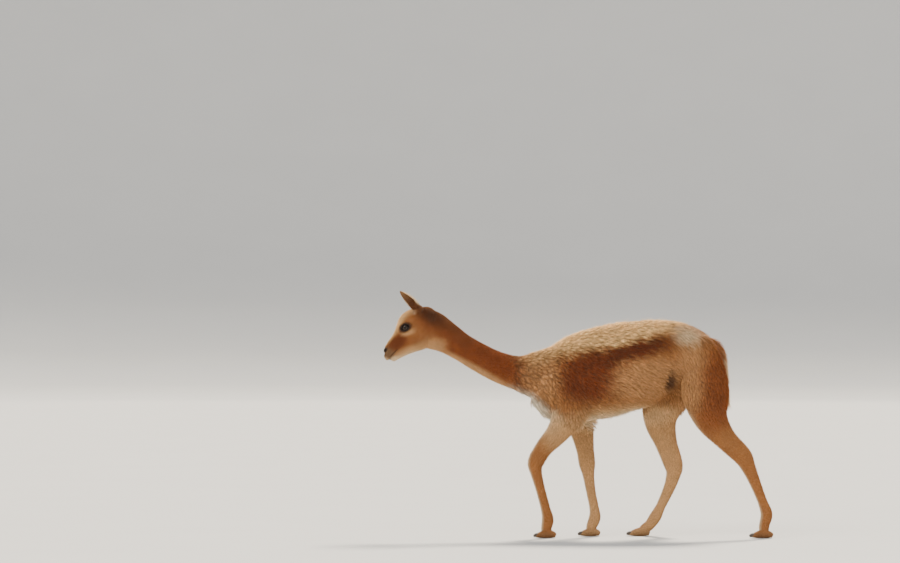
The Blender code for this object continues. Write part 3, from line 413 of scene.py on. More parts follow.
# How the tufts vary about the coat's own values
LIE_SPREAD = 0.10
LENGTH_RANGE = (0.75, 1.2)
WIDTH_RANGE = (0.75, 1.25)
SHADE_RANGE = (0.88, 1.12)
TIP_SPREAD = 0.10
TIP_RANGE = (0.5, 1.25)
LOCK_RISE_SPREAD = 0.12
LOCK_RISE_RANGE = (0.78, 1.22)
LOCK_SHADE_SPREAD = 0.05

TUFT_COVER = 0.6

# The colours of the coat and skin, by name, as a painter would mix them (display values 0-255)
TONES = {
    "fawn": (174, 116, 66),
    "russet": (152, 94, 50),
    "umber": (66, 33, 13),
    "cinnamon": (138, 70, 27),
    "deep cinnamon": (124, 56, 18),
    "burnt cinnamon": (108, 47, 14),
    "gold": (254, 207, 142),
    "tan": (204, 149, 97),
    "pale tan": (218, 172, 120),
    "orange tan": (170, 109, 60),
    "cream": (236, 208, 168),
    "white": (252, 238, 214),
    "dark brown": (92, 50, 24),
    "grey brown": (120, 92, 66),
    "slate": (56, 44, 36),
    "black": (22, 17, 14),
}

# The markings, with patches of painted shade and painted highlight among them, painted in order,
# each a soft-edged ellipsoid on both sides of the body: tone, centre, radii, nose-up pitch in
# degrees, softness of the edge, strength and, if any, one side
MarkingOrPaintedLight = namedtuple("MarkingOrPaintedLight", "tone centre radii pitch softness strength side", defaults=(0,))
MARKINGS_AND_PAINTED_LIGHT = [MarkingOrPaintedLight(*row) for row in (
    # trunk
    # the two gold patches along the top of the back and withers are painted highlight, the light
    # from above and behind
    ("gold", (0.140, 0.0, 0.905), (0.440, 0.30, 0.086), 13, 0.18, 1.0),
    ("gold", (-0.170, 0.0, 0.800), (0.170, 0.30, 0.050), 22, 0.50, 0.8),
    ("deep cinnamon", (0.020, 0.13, 0.700), (0.135, 0.12, 0.110), 0, 0.40, 1.0),
    ("burnt cinnamon", (0.205, 0.13, 0.804), (0.205, 0.10, 0.038), 15, 0.60, 1.0),
    ("tan", (0.290, 0.13, 0.670), (0.170, 0.14, 0.095), 0, 0.40, 0.9),
    ("pale tan", (0.120, 0.0, 0.520), (0.300, 0.14, 0.060), 4, 0.40, 0.9),
    ("cream", (0.150, 0.0, 0.500), (0.260, 0.085, 0.050), 5, 0.40, 0.9),
    # neck
    ("cinnamon", (-0.435, 0.0, 0.792), (0.255, 0.30, 0.086), -29, 0.42, 1.0),
    ("deep cinnamon", (-0.350, 0.05, 0.745), (0.150, 0.05, 0.030), -29, 0.60, 0.6),
    ("pale tan", (-0.450, 0.0, 0.722), (0.230, 0.040, 0.024), -27, 0.50, 0.8),
    ("tan", (-0.180, 0.09, 0.670), (0.080, 0.12, 0.110), 0, 0.50, 0.7),
    # chest
    ("white", (-0.190, 0.0, 0.565), (0.120, 0.085, 0.048), -38, 0.40, 1.0),
    ("cream", (-0.110, 0.07, 0.500), (0.050, 0.09, 0.060), 0, 0.50, 0.8),
    ("pale tan", (-0.080, 0.09, 0.450), (0.075, 0.05, 0.090), 0, 0.50, 0.8),
    # rump and thighs
    ("tan", (0.470, 0.10, 0.700), (0.085, 0.14, 0.160), 0, 0.35, 0.8),
    ("cinnamon", (0.592, 0.06, 0.680), (0.080, 0.16, 0.175), 0, 0.50, 0.90),
    ("cinnamon", (0.570, 0.08, 0.540), (0.080, 0.10, 0.090), -20, 0.50, 0.7),
    ("cream", (0.440, 0.07, 0.866), (0.056, 0.07, 0.030), -10, 0.80, 0.9),
    # painted shadow in the fold between the left flank and thigh, on the left side only
    ("umber", (0.378, 0.10, 0.664), (0.022, 0.08, 0.052), 0, 0.50, 0.9, LEFT),
    ("cream", (0.625, 0.0, 0.650), (0.050, 0.055, 0.150), 0, 0.40, 0.9),
    # head
    ("russet", (-0.720, 0.0, 0.860), (0.120, 0.30, 0.130), 0, 0.20, 1.0),
    # painted highlight on the forehead, the light from above
    ("gold", (-0.750, 0.0, 0.925), (0.090, 0.032, 0.040), 50, 0.50, 0.85),
    # the next two darken the hollow between the eye and the mouth: painted shade
    ("deep cinnamon", (-0.765, 0.03, 0.828), (0.052, 0.03, 0.026), 38, 0.50, 0.85),
    ("umber", (-0.772, 0.03, 0.822), (0.040, 0.03, 0.020), 38, 0.70, 0.35),
    ("gold", (-0.795, 0.0, 0.846), (0.055, 0.014, 0.022), 52, 0.60, 0.6),
    ("orange tan", (-0.690, 0.05, 0.900), (0.050, 0.04, 0.050), 0, 0.50, 0.8),
    ("pale tan", (-0.690, 0.02, 0.785), (0.120, 0.06, 0.034), 22, 0.40, 0.9),
    ("cream", (-0.700, 0.00, 0.768), (0.120, 0.05, 0.026), 22, 0.40, 0.9),
    ("tan", (-0.625, 0.03, 0.800), (0.055, 0.06, 0.045), 0, 0.70, 0.7),
    # the next three darken the nape behind the ears and the top of the neck: painted shadow
    ("cinnamon", (-0.628, 0.03, 0.925), (0.060, 0.06, 0.045), -20, 0.60, 0.9),
    ("dark brown", (-0.570, 0.03, 0.910), (0.120, 0.06, 0.036), -33, 0.90, 0.45),
    ("umber", (-0.632, 0.03, 0.942), (0.066, 0.06, 0.028), -26, 0.90, 0.8),
    # a small painted spot of light on the temple, before the ear
    ("cream", (-0.700, 0.035, 0.955), (0.012, 0.03, 0.010), 0, 0.60, 0.3),
    ("pale tan", (-0.724, 0.045, 0.870), (0.030, 0.03, 0.013), 20, 0.60, 0.65),
    ("grey brown", (-0.806, 0.0, 0.780), (0.028, 0.04, 0.028), 0, 0.40, 0.9),
    ("cream", (-0.775, 0.0, 0.752), (0.032, 0.04, 0.018), 10, 0.40, 0.9),
    ("cream", (-0.815, 0.0, 0.756), (0.012, 0.02, 0.012), 0, 0.50, 0.7),
)]

# The legs' own tones and, on their insides, painted shade, painted in order: tone, strength, the
# way that they face and how far they turn to it, and the heights between which they fade out
# upwards
LEG_TONES = (
    ("orange tan", 0.6, "all round", (0.0, 1.0), (0.26, 0.42)),
    ("cream", 0.8, "front", (0.45, 1.05), (0.50, 0.60)),
    # the legs' pale inside, dulled from cream to pale tan by painted shade
    ("pale tan", 0.75, "inside", (0.0, 0.9), (0.52, 0.62)),
    ("grey brown", 0.5, "all round", (0.0, 1.0), (0.012, 0.045)),
)

# Where the painted shade in the ears' cups and their pale rims start and end, as shares
EAR_CUP_SHADE_FACING = (0.1, 0.5)
EAR_CUP_SHADE_FADE = (0.25, 0.85)
EAR_RIM_WIDTH = (0.70, 0.92)
EAR_RIM_START = (0.0, 0.2)

# The bare skin of the mouth, with painted shade in its slit, the nose and the soles
MOUTH_SKIN_WIDTH = 0.0050
NOSE_SKIN = (0.0085, 0.0125)
SOLE_HEIGHTS = (0.003, 0.008)

# The fine strands that a tuft's surface shows, across it and along it
STRANDS_PER_METRE = 3200
WAVES_PER_METRE = 60
STRAND_SHIFT = 50.0

# The part of the baked pictures that each tuft takes up
BAKE_PATCH = 0.003

# Locks of the fleece by the first region of a piece: their spacing, how far the coat drops in
# the cracks between them, and how much painted shade darkens it there; and how much longer than
# wide they are
LOCKS = {
    "shoulder": (0.021, 0.38, 0.38),
    "back": (0.018, 0.32, 0.32),
    "tail": (0.010, 0.20, 0.25),
}
OTHER_LOCKS = (0.013, 0.28, 0.28)
LOCK_STRETCH = 0.72
LOCK_EDGE = 0.8

# Triangles of the skin, before its parts are joined
BODY_TRIANGLES = 76000
HEAD_TRIANGLES = 90000
FOOT_TRIANGLES = 6500
# Shorter edges than this are left over from the cuts, and are closed up
SLIVER = 0.00006

# The floor is flat well past the camera, and curves up into a wall all round
FLOOR_RADIUS = 25.0
FLOOR_STEPS = 96
WALL_CURVE = 12.0
WALL_STEPS = 12

# The lights: name, place, how wide, the setting with their strength, colour
LAMPS = (
    ("key light", (-6.0, -8.0, 8.0), 40.0, "key_strength", (1.0, 0.96, 0.90)),
    ("rim light", (1.5, 6.0, 7.0), 16.0, "rim_strength", (1.0, 0.90, 0.74)),
)
SKY_COLOUR = (0.93, 0.96, 1.0, 1.0)

# The camera, level and square to the animal's left side
CAMERA_LENS = 200.0
CAMERA_SENSOR = 36.0
CAMERA_SIGHT = 200.0
CAMERA_ALONG = -0.542
CAMERA_HEIGHT = 1.086

SEED = 20


def sizes():
    """The settings that the sidebar shows."""
    return bpy.context.scene.vicuna


class VicunaSettings(bpy.types.PropertyGroup):
    """Sizes, colours and lights that a user would change."""

    body_voxel: FloatProperty(
        name="Body Grain", description="Size of the grain that the body's skin is fused at",
        default=0.0045, min=0.002, unit="LENGTH")
    head_voxel: FloatProperty(
        name="Head Grain", description="Size of the grain that the head's skin is fused at",
        default=0.0016, min=0.001, unit="LENGTH")
    foot_voxel: FloatProperty(
        name="Foot Grain", description="Size of the grain that the feet's skin is fused at",
        default=0.0024, min=0.001, unit="LENGTH")
    coat_length: FloatProperty(
        name="Coat Length", description="Length of the tufts, as a share of their natural length",
        default=1.0, min=0.3, max=2.0, subtype="FACTOR")
    coat_thickness: FloatProperty(
        name="Coat Thickness", description="Number of tufts, as a share of their natural number",
        default=1.0, min=0.05, max=1.2, subtype="FACTOR")
    clumping: FloatProperty(
        name="Clumping", description="How far the tips of the fleece draw together into locks",
        default=0.45, min=0.0, max=1.0, subtype="FACTOR")
    iris_colour: FloatVectorProperty(
        name="Iris", description="Colour of the iris", subtype="COLOR", size=3, min=0.0, max=1.0,
        default=(0.016, 0.0075, 0.0038))
    nail_colour: FloatVectorProperty(
        name="Nails", description="Colour of the toenails", subtype="COLOR", size=3, min=0.0,
        max=1.0, default=(0.050, 0.038, 0.030))
    floor_colour: FloatVectorProperty(
        name="Floor", description="Colour of the studio floor", subtype="COLOR", size=3, min=0.0,
        max=1.0, default=(0.46, 0.456, 0.445))
    sky_strength: FloatProperty(
        name="Sky", description="Strength of the even light from all round", default=0.80)
    key_strength: FloatProperty(
        name="Key Light", description="Strength of the soft light in front", default=2.3)
    rim_strength: FloatProperty(
        name="Rim Light", description="Strength of the warm light behind and above",
        default=10.5)
    camera_distance: FloatProperty(
        name="Camera Distance", description="Distance of the camera from the animal",
        default=21.25, unit="LENGTH")
    tuft_seed: IntProperty(
        name="Seed", description="Start of the random draws", default=SEED)


# Shapes


def object_from(bm, name):
    """Turns a bmesh into an object of the scene."""
    bmesh.ops.recalc_face_normals(bm, faces=bm.faces)
    mesh = bpy.data.meshes.new(name)
    bm.to_mesh(mesh)
    bm.free()
    thing = bpy.data.objects.new(name, mesh)
    bpy.context.scene.collection.objects.link(thing)
    return thing


def remove(things):
    """Removes helpers that have done their work."""
    for thing in list(things):
        bpy.data.objects.remove(thing, do_unlink=True)


def gathered(forms):
    """Gathers forms into one bmesh and removes them."""
    bm = bmesh.new()
    for form in forms:
        bm.from_mesh(form.data)
    remove(forms)
    return bm


def mirrored(point, sign):
    """A point that is given for the right side, on the side asked for."""
    return Vector((point[0], sign * point[1], point[2]))


def rounded_path(points, steps):
    """Reads a smooth curve through a list of points of any size."""
    path = []
    last = len(points) - 1
    for i in range(last):
        before = points[max(i - 1, 0)]
        start = points[i]
        end = points[i + 1]
        after = points[min(i + 2, last)]
        for step in range(steps):
            t = step / steps
            path.append(tuple(
                0.5 * (2 * b + (c - a) * t + (2 * a - 5 * b + 4 * c - d) * t ** 2
                       + (3 * b - a - 3 * c + d) * t ** 3)
                for a, b, c, d in zip(before, start, end, after)))
    path.append(tuple(points[last]))
    return path


def in_order(things):
    """Each thing once, in the order in which they come, which a set would not keep."""
    return list(dict.fromkeys(things))


def bridge_rings(bm, rings, closed=False):
    """Joins rings of points in order, and closes the ends or joins the last to the first."""
    pairs = list(zip(rings, rings[1:]))
    if closed:
        pairs.append((rings[-1], rings[0]))
    for first, second in pairs:
        edges = in_order(edge for vert in first + second for edge in vert.link_edges)
        edges = [e for e in edges if set(e.verts) <= set(first) or set(e.verts) <= set(second)]
        bmesh.ops.bridge_loops(bm, edges=edges)
    if not closed:
        bm.faces.new(rings[0])
        bm.faces.new(rings[-1])


def ring_at(bm, centre, axes, sides):
    """A ring of points. The axes are its two half widths and the way it faces."""
    place = Matrix(axes).transposed().to_4x4()
    place.translation = centre
    return bmesh.ops.create_circle(bm, segments=sides, radius=1.0, matrix=place)["verts"]


def loft(name, sections, sides=40, steps=4, upright=False):
    """Joins elliptic sections (x, y, z, half depth, half width) into one closed form."""
    path = rounded_path(sections, steps)
    bm = bmesh.new()
    rings = []
    for i, (x, y, z, half_depth, half_width) in enumerate(path):
        before = Vector(path[max(i - 1, 0)][:3])
        after = Vector(path[min(i + 1, len(path) - 1)][:3])
        along = Vector((1.0, 0.0, 0.0)) if upright else (after - before).normalized()
        depth = along.cross(Vector((0.0, 1.0, 0.0))).normalized()
        across = depth.cross(along).normalized()
        axes = (depth * half_depth, across * half_width, along)
        rings.append(ring_at(bm, Vector((x, y, z)), axes, sides))
    bridge_rings(bm, rings)
    return object_from(bm, name)


def level_loft(name, rows, upright=False):
    """A form in the middle of the body, from rows of place, height, half depth, half width."""
    return loft(name, [(x, 0.0, z, depth, width) for x, z, depth, width in rows],
                upright=upright)


def ellipsoid(name, centre, radii, pitch):
    """A rounded mass, pitched nose-down about the Y axis."""
    bm = bmesh.new()
    bmesh.ops.create_uvsphere(bm, u_segments=32, v_segments=20, radius=1.0)
    bmesh.ops.scale(bm, vec=Vector(radii), verts=bm.verts)
    bmesh.ops.rotate(bm, cent=Vector(), matrix=Matrix.Rotation(-pitch, 3, "Y"), verts=bm.verts)
    bmesh.ops.translate(bm, vec=Vector(centre), verts=bm.verts)
    return object_from(bm, name)


def applied(thing):
    """Applies an object's modifiers."""
    depsgraph = bpy.context.evaluated_depsgraph_get()
    mesh = bpy.data.meshes.new_from_object(thing.evaluated_get(depsgraph))
    thing.modifiers.clear()
    thing.data = mesh
    return thing


def thinned(skin, triangles):
    """Thins a skin out to about a number of triangles."""
    present = sum(len(face.vertices) - 2 for face in skin.data.polygons)
    thin = skin.modifiers.new("thin out", "DECIMATE")
    thin.ratio = min(1.0, triangles / present)
    return applied(skin)


def fused(forms, name, voxel, smoothing):
    """Fuses overlapping forms into one skin and softens it."""
    skin = object_from(gathered(forms), name)
    remesh = skin.modifiers.new("one skin", "REMESH")
    remesh.mode = "VOXEL"
    remesh.voxel_size = voxel
    smooth = skin.modifiers.new("soften", "SMOOTH")
    smooth.factor = 0.5
    smooth.iterations = smoothing
    return applied(skin)


def put_in_order(mesh):
    """Puts the faces of a cut mesh in order, because a cut leaves them in no fixed one."""
    faces = []
    for face in mesh.polygons:
        corners = list(face.vertices)
        first = corners.index(min(corners))
        faces.append(corners[first:] + corners[:first])
    places = [vert.co.copy() for vert in mesh.vertices]
    mesh.clear_geometry()
    mesh.from_pydata(places, [], sorted(faces))


def boolean(thing, operands, operation="DIFFERENCE"):
    """Cuts closed forms out of a skin, or joins them to it."""
    group = bpy.data.collections.new("operands")
    for operand in operands:
        group.objects.link(operand)
    modifier = thing.modifiers.new(operation.lower(), "BOOLEAN")
    modifier.operation = operation
    modifier.solver = "MANIFOLD"
    modifier.operand_type = "COLLECTION"
    modifier.collection = group
    applied(thing)
    put_in_order(thing.data)
    remove(operands)
    bpy.data.collections.remove(group)
    return thing


def points_of(mesh):
    """The places of a mesh's vertices, as an array."""
    places = np.empty(len(mesh.vertices) * 3)
    mesh.vertices.foreach_get("co", places)
    return places.reshape(-1, 3)


def normals_of(mesh):
    """The directions that a mesh's vertices face, as an array."""
    directions = np.empty(len(mesh.vertices) * 3)
    mesh.vertex_normals.foreach_get("vector", directions)
    return directions.reshape(-1, 3)


def set_points(mesh, places):
    """Moves a mesh's vertices."""
    mesh.vertices.foreach_set("co", places.ravel())
    mesh.update()


def bell(distance, width):
    """A soft bump: 1 at no distance and 0 from the width on."""
    return 0.5 + 0.5 * np.cos(pi * np.clip(distance / width, 0.0, 1.0))


def eased(value, low, high):
    """Rises softly from 0 at low to 1 at high."""
    share = np.clip((value - low) / (high - low), 0.0, 1.0)
    return share * share * (3.0 - 2.0 * share)


def unit(vectors):
    """Vectors of length one."""
    return vectors / np.maximum(np.linalg.norm(vectors, axis=1, keepdims=True), 1e-9)


def distance_to_line(places, line):
    """How far points are from a line of (x, z) points, seen from the side."""
    seen = places[:, (0, 2)]
    nearest = np.full(len(places), np.inf)
    for start, end in zip(np.array(line), np.array(line)[1:]):
        step = end - start
        share = np.clip((seen - start) @ step / (step @ step), 0.0, 1.0)
        nearest = np.minimum(nearest, np.linalg.norm(seen - start - share[:, None] * step, axis=1))
    return nearest


def press(mesh, line, width, depth):
    """Presses a groove into a skin along a line seen from the side."""
    places = points_of(mesh)
    amount = depth * bell(distance_to_line(places, line), width)
    set_points(mesh, places - normals_of(mesh) * amount[:, None])


def press_cleft(mesh):
    """Presses the cleft into the middle of the upper lip."""
    places = points_of(mesh)
    normals = normals_of(mesh)
    low, high = CLEFT_HEIGHTS
    front = (normals[:, 0] < CLEFT_FACING) & (places[:, 2] > low) & (places[:, 2] < high)
    amount = CLEFT_DEPTH * bell(np.abs(places[:, 1]), CLEFT_HALF_WIDTH) * front
    set_points(mesh, places - normals * amount[:, None])


def head_forms():
    """The skull, muzzle and the masses on them, and the front of the neck."""
    front = [section for section in NECK if section[0] < FRONT_OF_NECK]
    forms = [level_loft("head form", HEAD), level_loft("neck form", front)]
    for sign in (LEFT, RIGHT):
        for name, mass in HEAD_MASSES.items():
            centre = mirrored(mass.centre, sign)
            forms.append(ellipsoid(name, centre, mass.radii, radians(mass.pitch)))
        lids = (EYE_RADIUS + LID_COVER,) * 3
        forms.append(ellipsoid("lids", mirrored(EYE_CENTRE, sign), lids, 0.0))
    return forms


def ear_blade(name, sign, wall):
    """A leaf that narrows to the tip. A wall makes the smaller leaf that hollows the cup."""
    root = mirrored(EAR_ROOT, sign)
    tip = mirrored(EAR_TIP, sign)
    facing = mirrored(EAR_FACING, sign)
    along = (tip - root).normalized()
    facing = (facing - along * facing.dot(along)).normalized()
    across = along.cross(facing)
    length = (tip - root).length
    start, stop = CUP_SPAN if wall else EAR_SPAN
    bm = bmesh.new()
    rings = []
    for i in range(EAR_RINGS):
        t = start + (stop - start) * i / (EAR_RINGS - 1)
        turn = pi * min(max(EAR_SWELL_START + (1.0 - EAR_SWELL_START) * t, 0.0), 1.0)
        swell = sin(turn) ** EAR_FULLNESS + EAR_LEAST_SWELL
        if wall:
            swell *= min(1.0, CUP_FLOOR + (t - start) / CUP_ROUNDING)
        half_width = max(EAR_HALF_WIDTH * swell - wall, EAR_THINNEST)
        half_depth = max(EAR_HALF_DEPTH * swell - wall, EAR_THINNEST)
        centre = root + along * length * t - facing * length * EAR_BEND * sin(pi * t)
        if wall:
            centre += facing * (wall + CUP_FORWARD * half_depth)
        axes = (across * half_width, facing * half_depth, along)
        rings.append(ring_at(bm, centre, axes, EAR_SIDES))
    bridge_rings(bm, rings)
    return object_from(bm, name)


def eye_frame(sign):
    """The place and turn of an eye: along the lids, outwards and up."""
    slant = Matrix.Rotation(-EYE_SLANT, 4, "Y")
    forward = Matrix.Rotation(sign * EYE_FORWARD, 4, "Z")
    outwards = Matrix.Diagonal((1.0, sign, 1.0, 1.0))
    return Matrix.Translation(mirrored(EYE_CENTRE, sign)) @ forward @ slant @ outwards


def almond(steps):
    """The rim between the lids as (along, up) points, front corner first."""
    half = EYE_OPENING_LENGTH / 2
    rim = []
    for edge in (1, -1):
        for i in range(steps):
            along = edge * (-half + 2 * half * i / steps)
            height = EYE_OPENING_HEIGHT / 2 * cos(pi * along / 2 / half) ** ALMOND_FULLNESS
            rim.append((along, edge * height))
    return rim


def on_eye(along, up, radius):
    """The point of an eyeball that lies over a point of the rim."""
    return Vector((along, sqrt(radius ** 2 - along ** 2 - up ** 2), up))


def eye_opening(sign):
    """The almond between the lids, as a cutter that starts in the eye and runs outwards."""
    bm = bmesh.new()
    face = bm.faces.new([bm.verts.new((along, 0.0, up)) for along, up in almond(24)])
    outer = bmesh.ops.extrude_face_region(bm, geom=[face])
    moved = [item for item in outer["geom"] if isinstance(item, bmesh.types.BMVert)]
    bmesh.ops.translate(bm, vec=Vector((0.0, EYE_CUTTER_LENGTH, 0.0)), verts=moved)
    bmesh.ops.transform(bm, matrix=eye_frame(sign), verts=bm.verts)
    return object_from(bm, "eye opening")


def lid_rim(sign):
    """The rolled edge of both lids, lying on the eye."""
    bm = bmesh.new()
    centres = [on_eye(along, up, EYE_RADIUS + LID_RIM * 0.7) for along, up in almond(30)]
    rings = []
    for i, centre in enumerate(centres):
        along = (centres[(i + 1) % len(centres)] - centres[i - 1]).normalized()
        outwards = centre.normalized()
        across = along.cross(outwards)
        axes = (across * LID_RIM * LID_RIM_BREADTH, outwards * LID_RIM, along)
        rings.append(ring_at(bm, centre, axes, 10))
    bridge_rings(bm, rings, closed=True)
    bmesh.ops.transform(bm, matrix=eye_frame(sign), verts=bm.verts)
    return object_from(bm, "lid rim")


def toe_form(leg, outward):
    """One toe, from the heel pad to the tip."""
    side = leg.sign * leg.landmarks[-1].side
    length = leg.heel - leg.toe
    sections = []
    for share, height, depth, width, spread in TOE_ROWS:
        offset = outward * (TOE_OFFSET + TOE_SPREAD * spread - TOE_SPREAD / 2)
        sections.append((leg.heel - length * share, side + offset, height,
                         TOE_HALF_HEIGHT * depth, TOE_HALF_WIDTH * width))
    return loft("toe", sections, sides=28)


def leg_sections(leg, first=0):
    """The sections of one leg from a landmark down. The whole leg starts with a rounded top."""
    sections = [(x, leg.sign * mark.side, z, mark.half_depth, mark.half_width)
                for (x, z), mark in list(zip(leg.path, leg.landmarks))[first:]]
    if first == 0:
        x, y, z, half_depth, half_width = sections[0]
        below = sections[1]
        sections.insert(0, (x + LEG_TOP_RISE * (x - below[0]), y - leg.sign * LEG_TOP_INWARDS,
                            z + LEG_TOP_RISE * (z - below[2]), half_depth * LEG_TOP_DEPTH,
                            half_width * LEG_TOP_WIDTH))
    return sections


def foot_forms(leg):
    """The pastern and the two toes."""
    x, z = leg.path[-1]
    side = leg.sign * leg.landmarks[-1].side
    middle = leg.toe + TOE_ROOT * (leg.heel - leg.toe)
    sections = leg_sections(leg, FETLOCK - 2)
    sections.append(((x + middle) / 2, side, (z + TOE_HALF_HEIGHT) / 2, *PASTERN_MIDDLE))
    sections.append((middle, side, TOE_HALF_HEIGHT, *PASTERN_END))
    return [loft("pastern", sections), toe_form(leg, LEFT), toe_form(leg, RIGHT)]


def body_forms():
    """The trunk, neck, legs and the core of the tail."""
    trunk = [(x, (back + belly) / 2, (back - belly) / 2, width)
             for x, back, belly, width in TRUNK]
    nape = HEAD_MASSES["nape"]
    forms = [
        level_loft("trunk form", trunk, upright=True),
        level_loft("neck form", NECK),
        level_loft("tail form", TAIL),
        ellipsoid("nape", nape.centre, nape.radii, radians(nape.pitch)),
    ]
    for leg in LEGS.values():
        forms.append(loft("leg form", leg_sections(leg)))
    return forms


# The lie of the coat


def in_eye_frame(places, sign):
    """Points as seen from one eye: along the lids, outwards and up."""
    turn = np.array(eye_frame(sign).inverted())
    return places @ turn[:3, :3].T + turn[:3, 3]


def oval_reach(seen, length, height):
    """How far points are from the middle of an eye's oval, where 1 is its edge."""
    return np.sqrt((seen[:, 0] / length * 2) ** 2 + (seen[:, 2] / height * 2) ** 2)


def round_the_eye(places):
    """How close points are to an eye, from 1 at the lids to 0 well away, and the way out."""
    closeness = np.zeros(len(places))
    way_out = np.zeros((len(places), 3))
    for sign in (LEFT, RIGHT):
        seen = in_eye_frame(places, sign)
        reach = oval_reach(seen, LID_SKIN_LENGTH, LID_SKIN_HEIGHT)
        near = (1.0 - eased(reach, 1.0, EYE_WHORL_REACH)) * (seen[:, 1] > 0)
        out = (seen * (1, 0, 1)) @ np.array(eye_frame(sign))[:3, :3].T
        closeness = np.maximum(closeness, near)
        way_out = np.where(near[:, None] > 0, unit(out), way_out)
    return closeness, way_out


def all_stations():
    """Every place of the coat's table on both sides, with those of the legs."""
    stations = []
    for station in STATIONS:
        x, y, z = station.place
        along, out, up = station.lie
        for sign in (LEFT, RIGHT) if y else (RIGHT,):
            stations.append(station._replace(place=(x, sign * y, z), lie=(along, sign * out, up)))
    for name, leg in LEGS.items():
        coat = FORE_COAT if "front" in name else HIND_COAT
        for i, ((x, z), mark) in enumerate(zip(leg.path, leg.landmarks)):
            before = leg.path[max(i - 1, 0)]
            after = leg.path[min(i + 1, len(leg.path) - 1)]
            down = Vector((after[0] - before[0], 0.0, after[1] - before[1])).normalized()
            back = max(0.0, 0.9 - 0.3 * i) if "front" in name else 0.0
            lie = (down + Vector((back, 0.0, 0.0))).normalized()
            spot = (x, leg.sign * (mark.side + THIGH_OUTWARDS * (i < 3)), z)
            stations.append(Station(LEG_REGIONS[i], spot, tuple(lie), *coat[i]))
    return stations


def coat_at(places, mixing=0.0):
    """The region, lie, length, depth, width and layers of the coat at points on the skin. The
    mixing roughens the borders between regions."""
    stations = all_stations()
    spots = np.array([station.place for station in stations])
    rows = np.array([(*station.lie, station.length * MM, station.depth * MM, station.width * MM,
                      station.layers) for station in stations])
    values = np.empty((len(places), rows.shape[1]))
    nearest = np.empty(len(places), dtype=int)
    draw = np.random.default_rng(SEED)
    chunk = 20000
    for start in range(0, len(places), chunk):
        part = places[start:start + chunk]
        distance = np.linalg.norm(part[:, None, :] - spots[None, :, :], axis=2) + LEAST_DISTANCE
        weight = distance ** -NEARNESS
        values[start:start + chunk] = weight @ rows / weight.sum(axis=1, keepdims=True)
        rough = distance * draw.uniform(1.0, 1.0 + mixing, distance.shape)
        nearest[start:start + chunk] = rough.argmin(axis=1)
    closeness, way_out = round_the_eye(places)
    values[:, :3] += way_out * closeness[:, None] * EYE_WHORL_PULL
    values[:, 3:5] *= (1.0 - EYE_WHORL_SHORTENING * closeness)[:, None]
    names = np.array([station.region for station in stations])
    return names[nearest], values


def inset(skin):
    """Draws a skin in by the depth of its coat."""
    places = points_of(skin.data)
    depth = coat_at(places)[1][:, 4]
    set_points(skin.data, places - normals_of(skin.data) * depth[:, None])
    return skin


def keep_side(bm, centre, normal, reach):
    """Cuts off what lies on the normal's side of a plane, near a point, and leaves it open."""
    def away(face):
        return face.calc_center_median() - centre

    near = [face for face in bm.faces if away(face).length < reach]
    edges = in_order(edge for face in near for edge in face.edges)
    verts = in_order(vert for face in near for vert in face.verts)
    bmesh.ops.bisect_plane(bm, geom=verts + edges + near, dist=1e-7, plane_co=centre,
                           plane_no=normal, clear_outer=True)
    loose = [face for face in bm.faces
             if away(face).length < reach * 3 and away(face).dot(normal) > 0]
    bmesh.ops.delete(bm, geom=loose, context="FACES")
    wires = [edge for edge in bm.edges if edge.is_wire]
    bmesh.ops.delete(bm, geom=wires, context="EDGES")


def joints_of_skin():
    """Where the finer skins of the head and feet meet the body's."""
    joints = [HEAD_JOINT]
    for name, leg in LEGS.items():
        x, z = leg.path[FETLOCK - 1]
        below = leg.path[FETLOCK]
        down = Vector((below[0] - x, 0.0, below[1] - z)).normalized()
        centre = Vector((x, leg.sign * leg.landmarks[FETLOCK - 1].side, z))
        joints.append(Joint(name, centre, down, FOOT_JOINT_REACH))
    return joints


def joined_skin(body, parts):
    """Opens the body's skin and each finer skin where they meet, and bridges the openings."""
    whole = bmesh.new()
    whole.from_mesh(body.data)
    joints = joints_of_skin()

    def close_to(vert, joint, distance):
        away = vert.co - joint.centre
        return away.length < joint.reach and abs(away.dot(joint.outwards)) < distance

    for joint in joints:
        gap = joint.outwards * JOINT_HALF_GAP
        keep_side(whole, joint.centre - gap, joint.outwards, joint.reach)
    for joint in joints:
        gap = joint.outwards * JOINT_HALF_GAP
        part = bmesh.new()
        part.from_mesh(parts[joint.part].data)
        bmesh.ops.remove_doubles(part, verts=part.verts, dist=SLIVER)
        keep_side(part, joint.centre + gap, -joint.outwards, 1.0)
        spare = bpy.data.meshes.new("spare")
        part.to_mesh(spare)
        part.free()
        whole.from_mesh(spare)
        bpy.data.meshes.remove(spare)
    for joint in joints:
        rims = [edge for edge in whole.edges if edge.is_boundary
                and close_to(edge.verts[0], joint, 2 * JOINT_HALF_GAP)]
        bmesh.ops.bridge_loops(whole, edges=rims)
    bmesh.ops.triangulate(whole, faces=whole.faces)
    near = [vert for vert in whole.verts
            if any(close_to(vert, joint, JOINT_SOFTENED) for joint in joints)]
    for _ in range(4):
        bmesh.ops.smooth_vert(whole, verts=near, factor=0.5, use_axis_x=True, use_axis_y=True,
                              use_axis_z=True)
    open_edges = sum(len(edge.link_faces) != 2 for edge in whole.edges)
    if open_edges:
        raise RuntimeError(f"the skin has {open_edges} open edges")
    remove([body, *parts.values()])
    return object_from(whole, "skin")


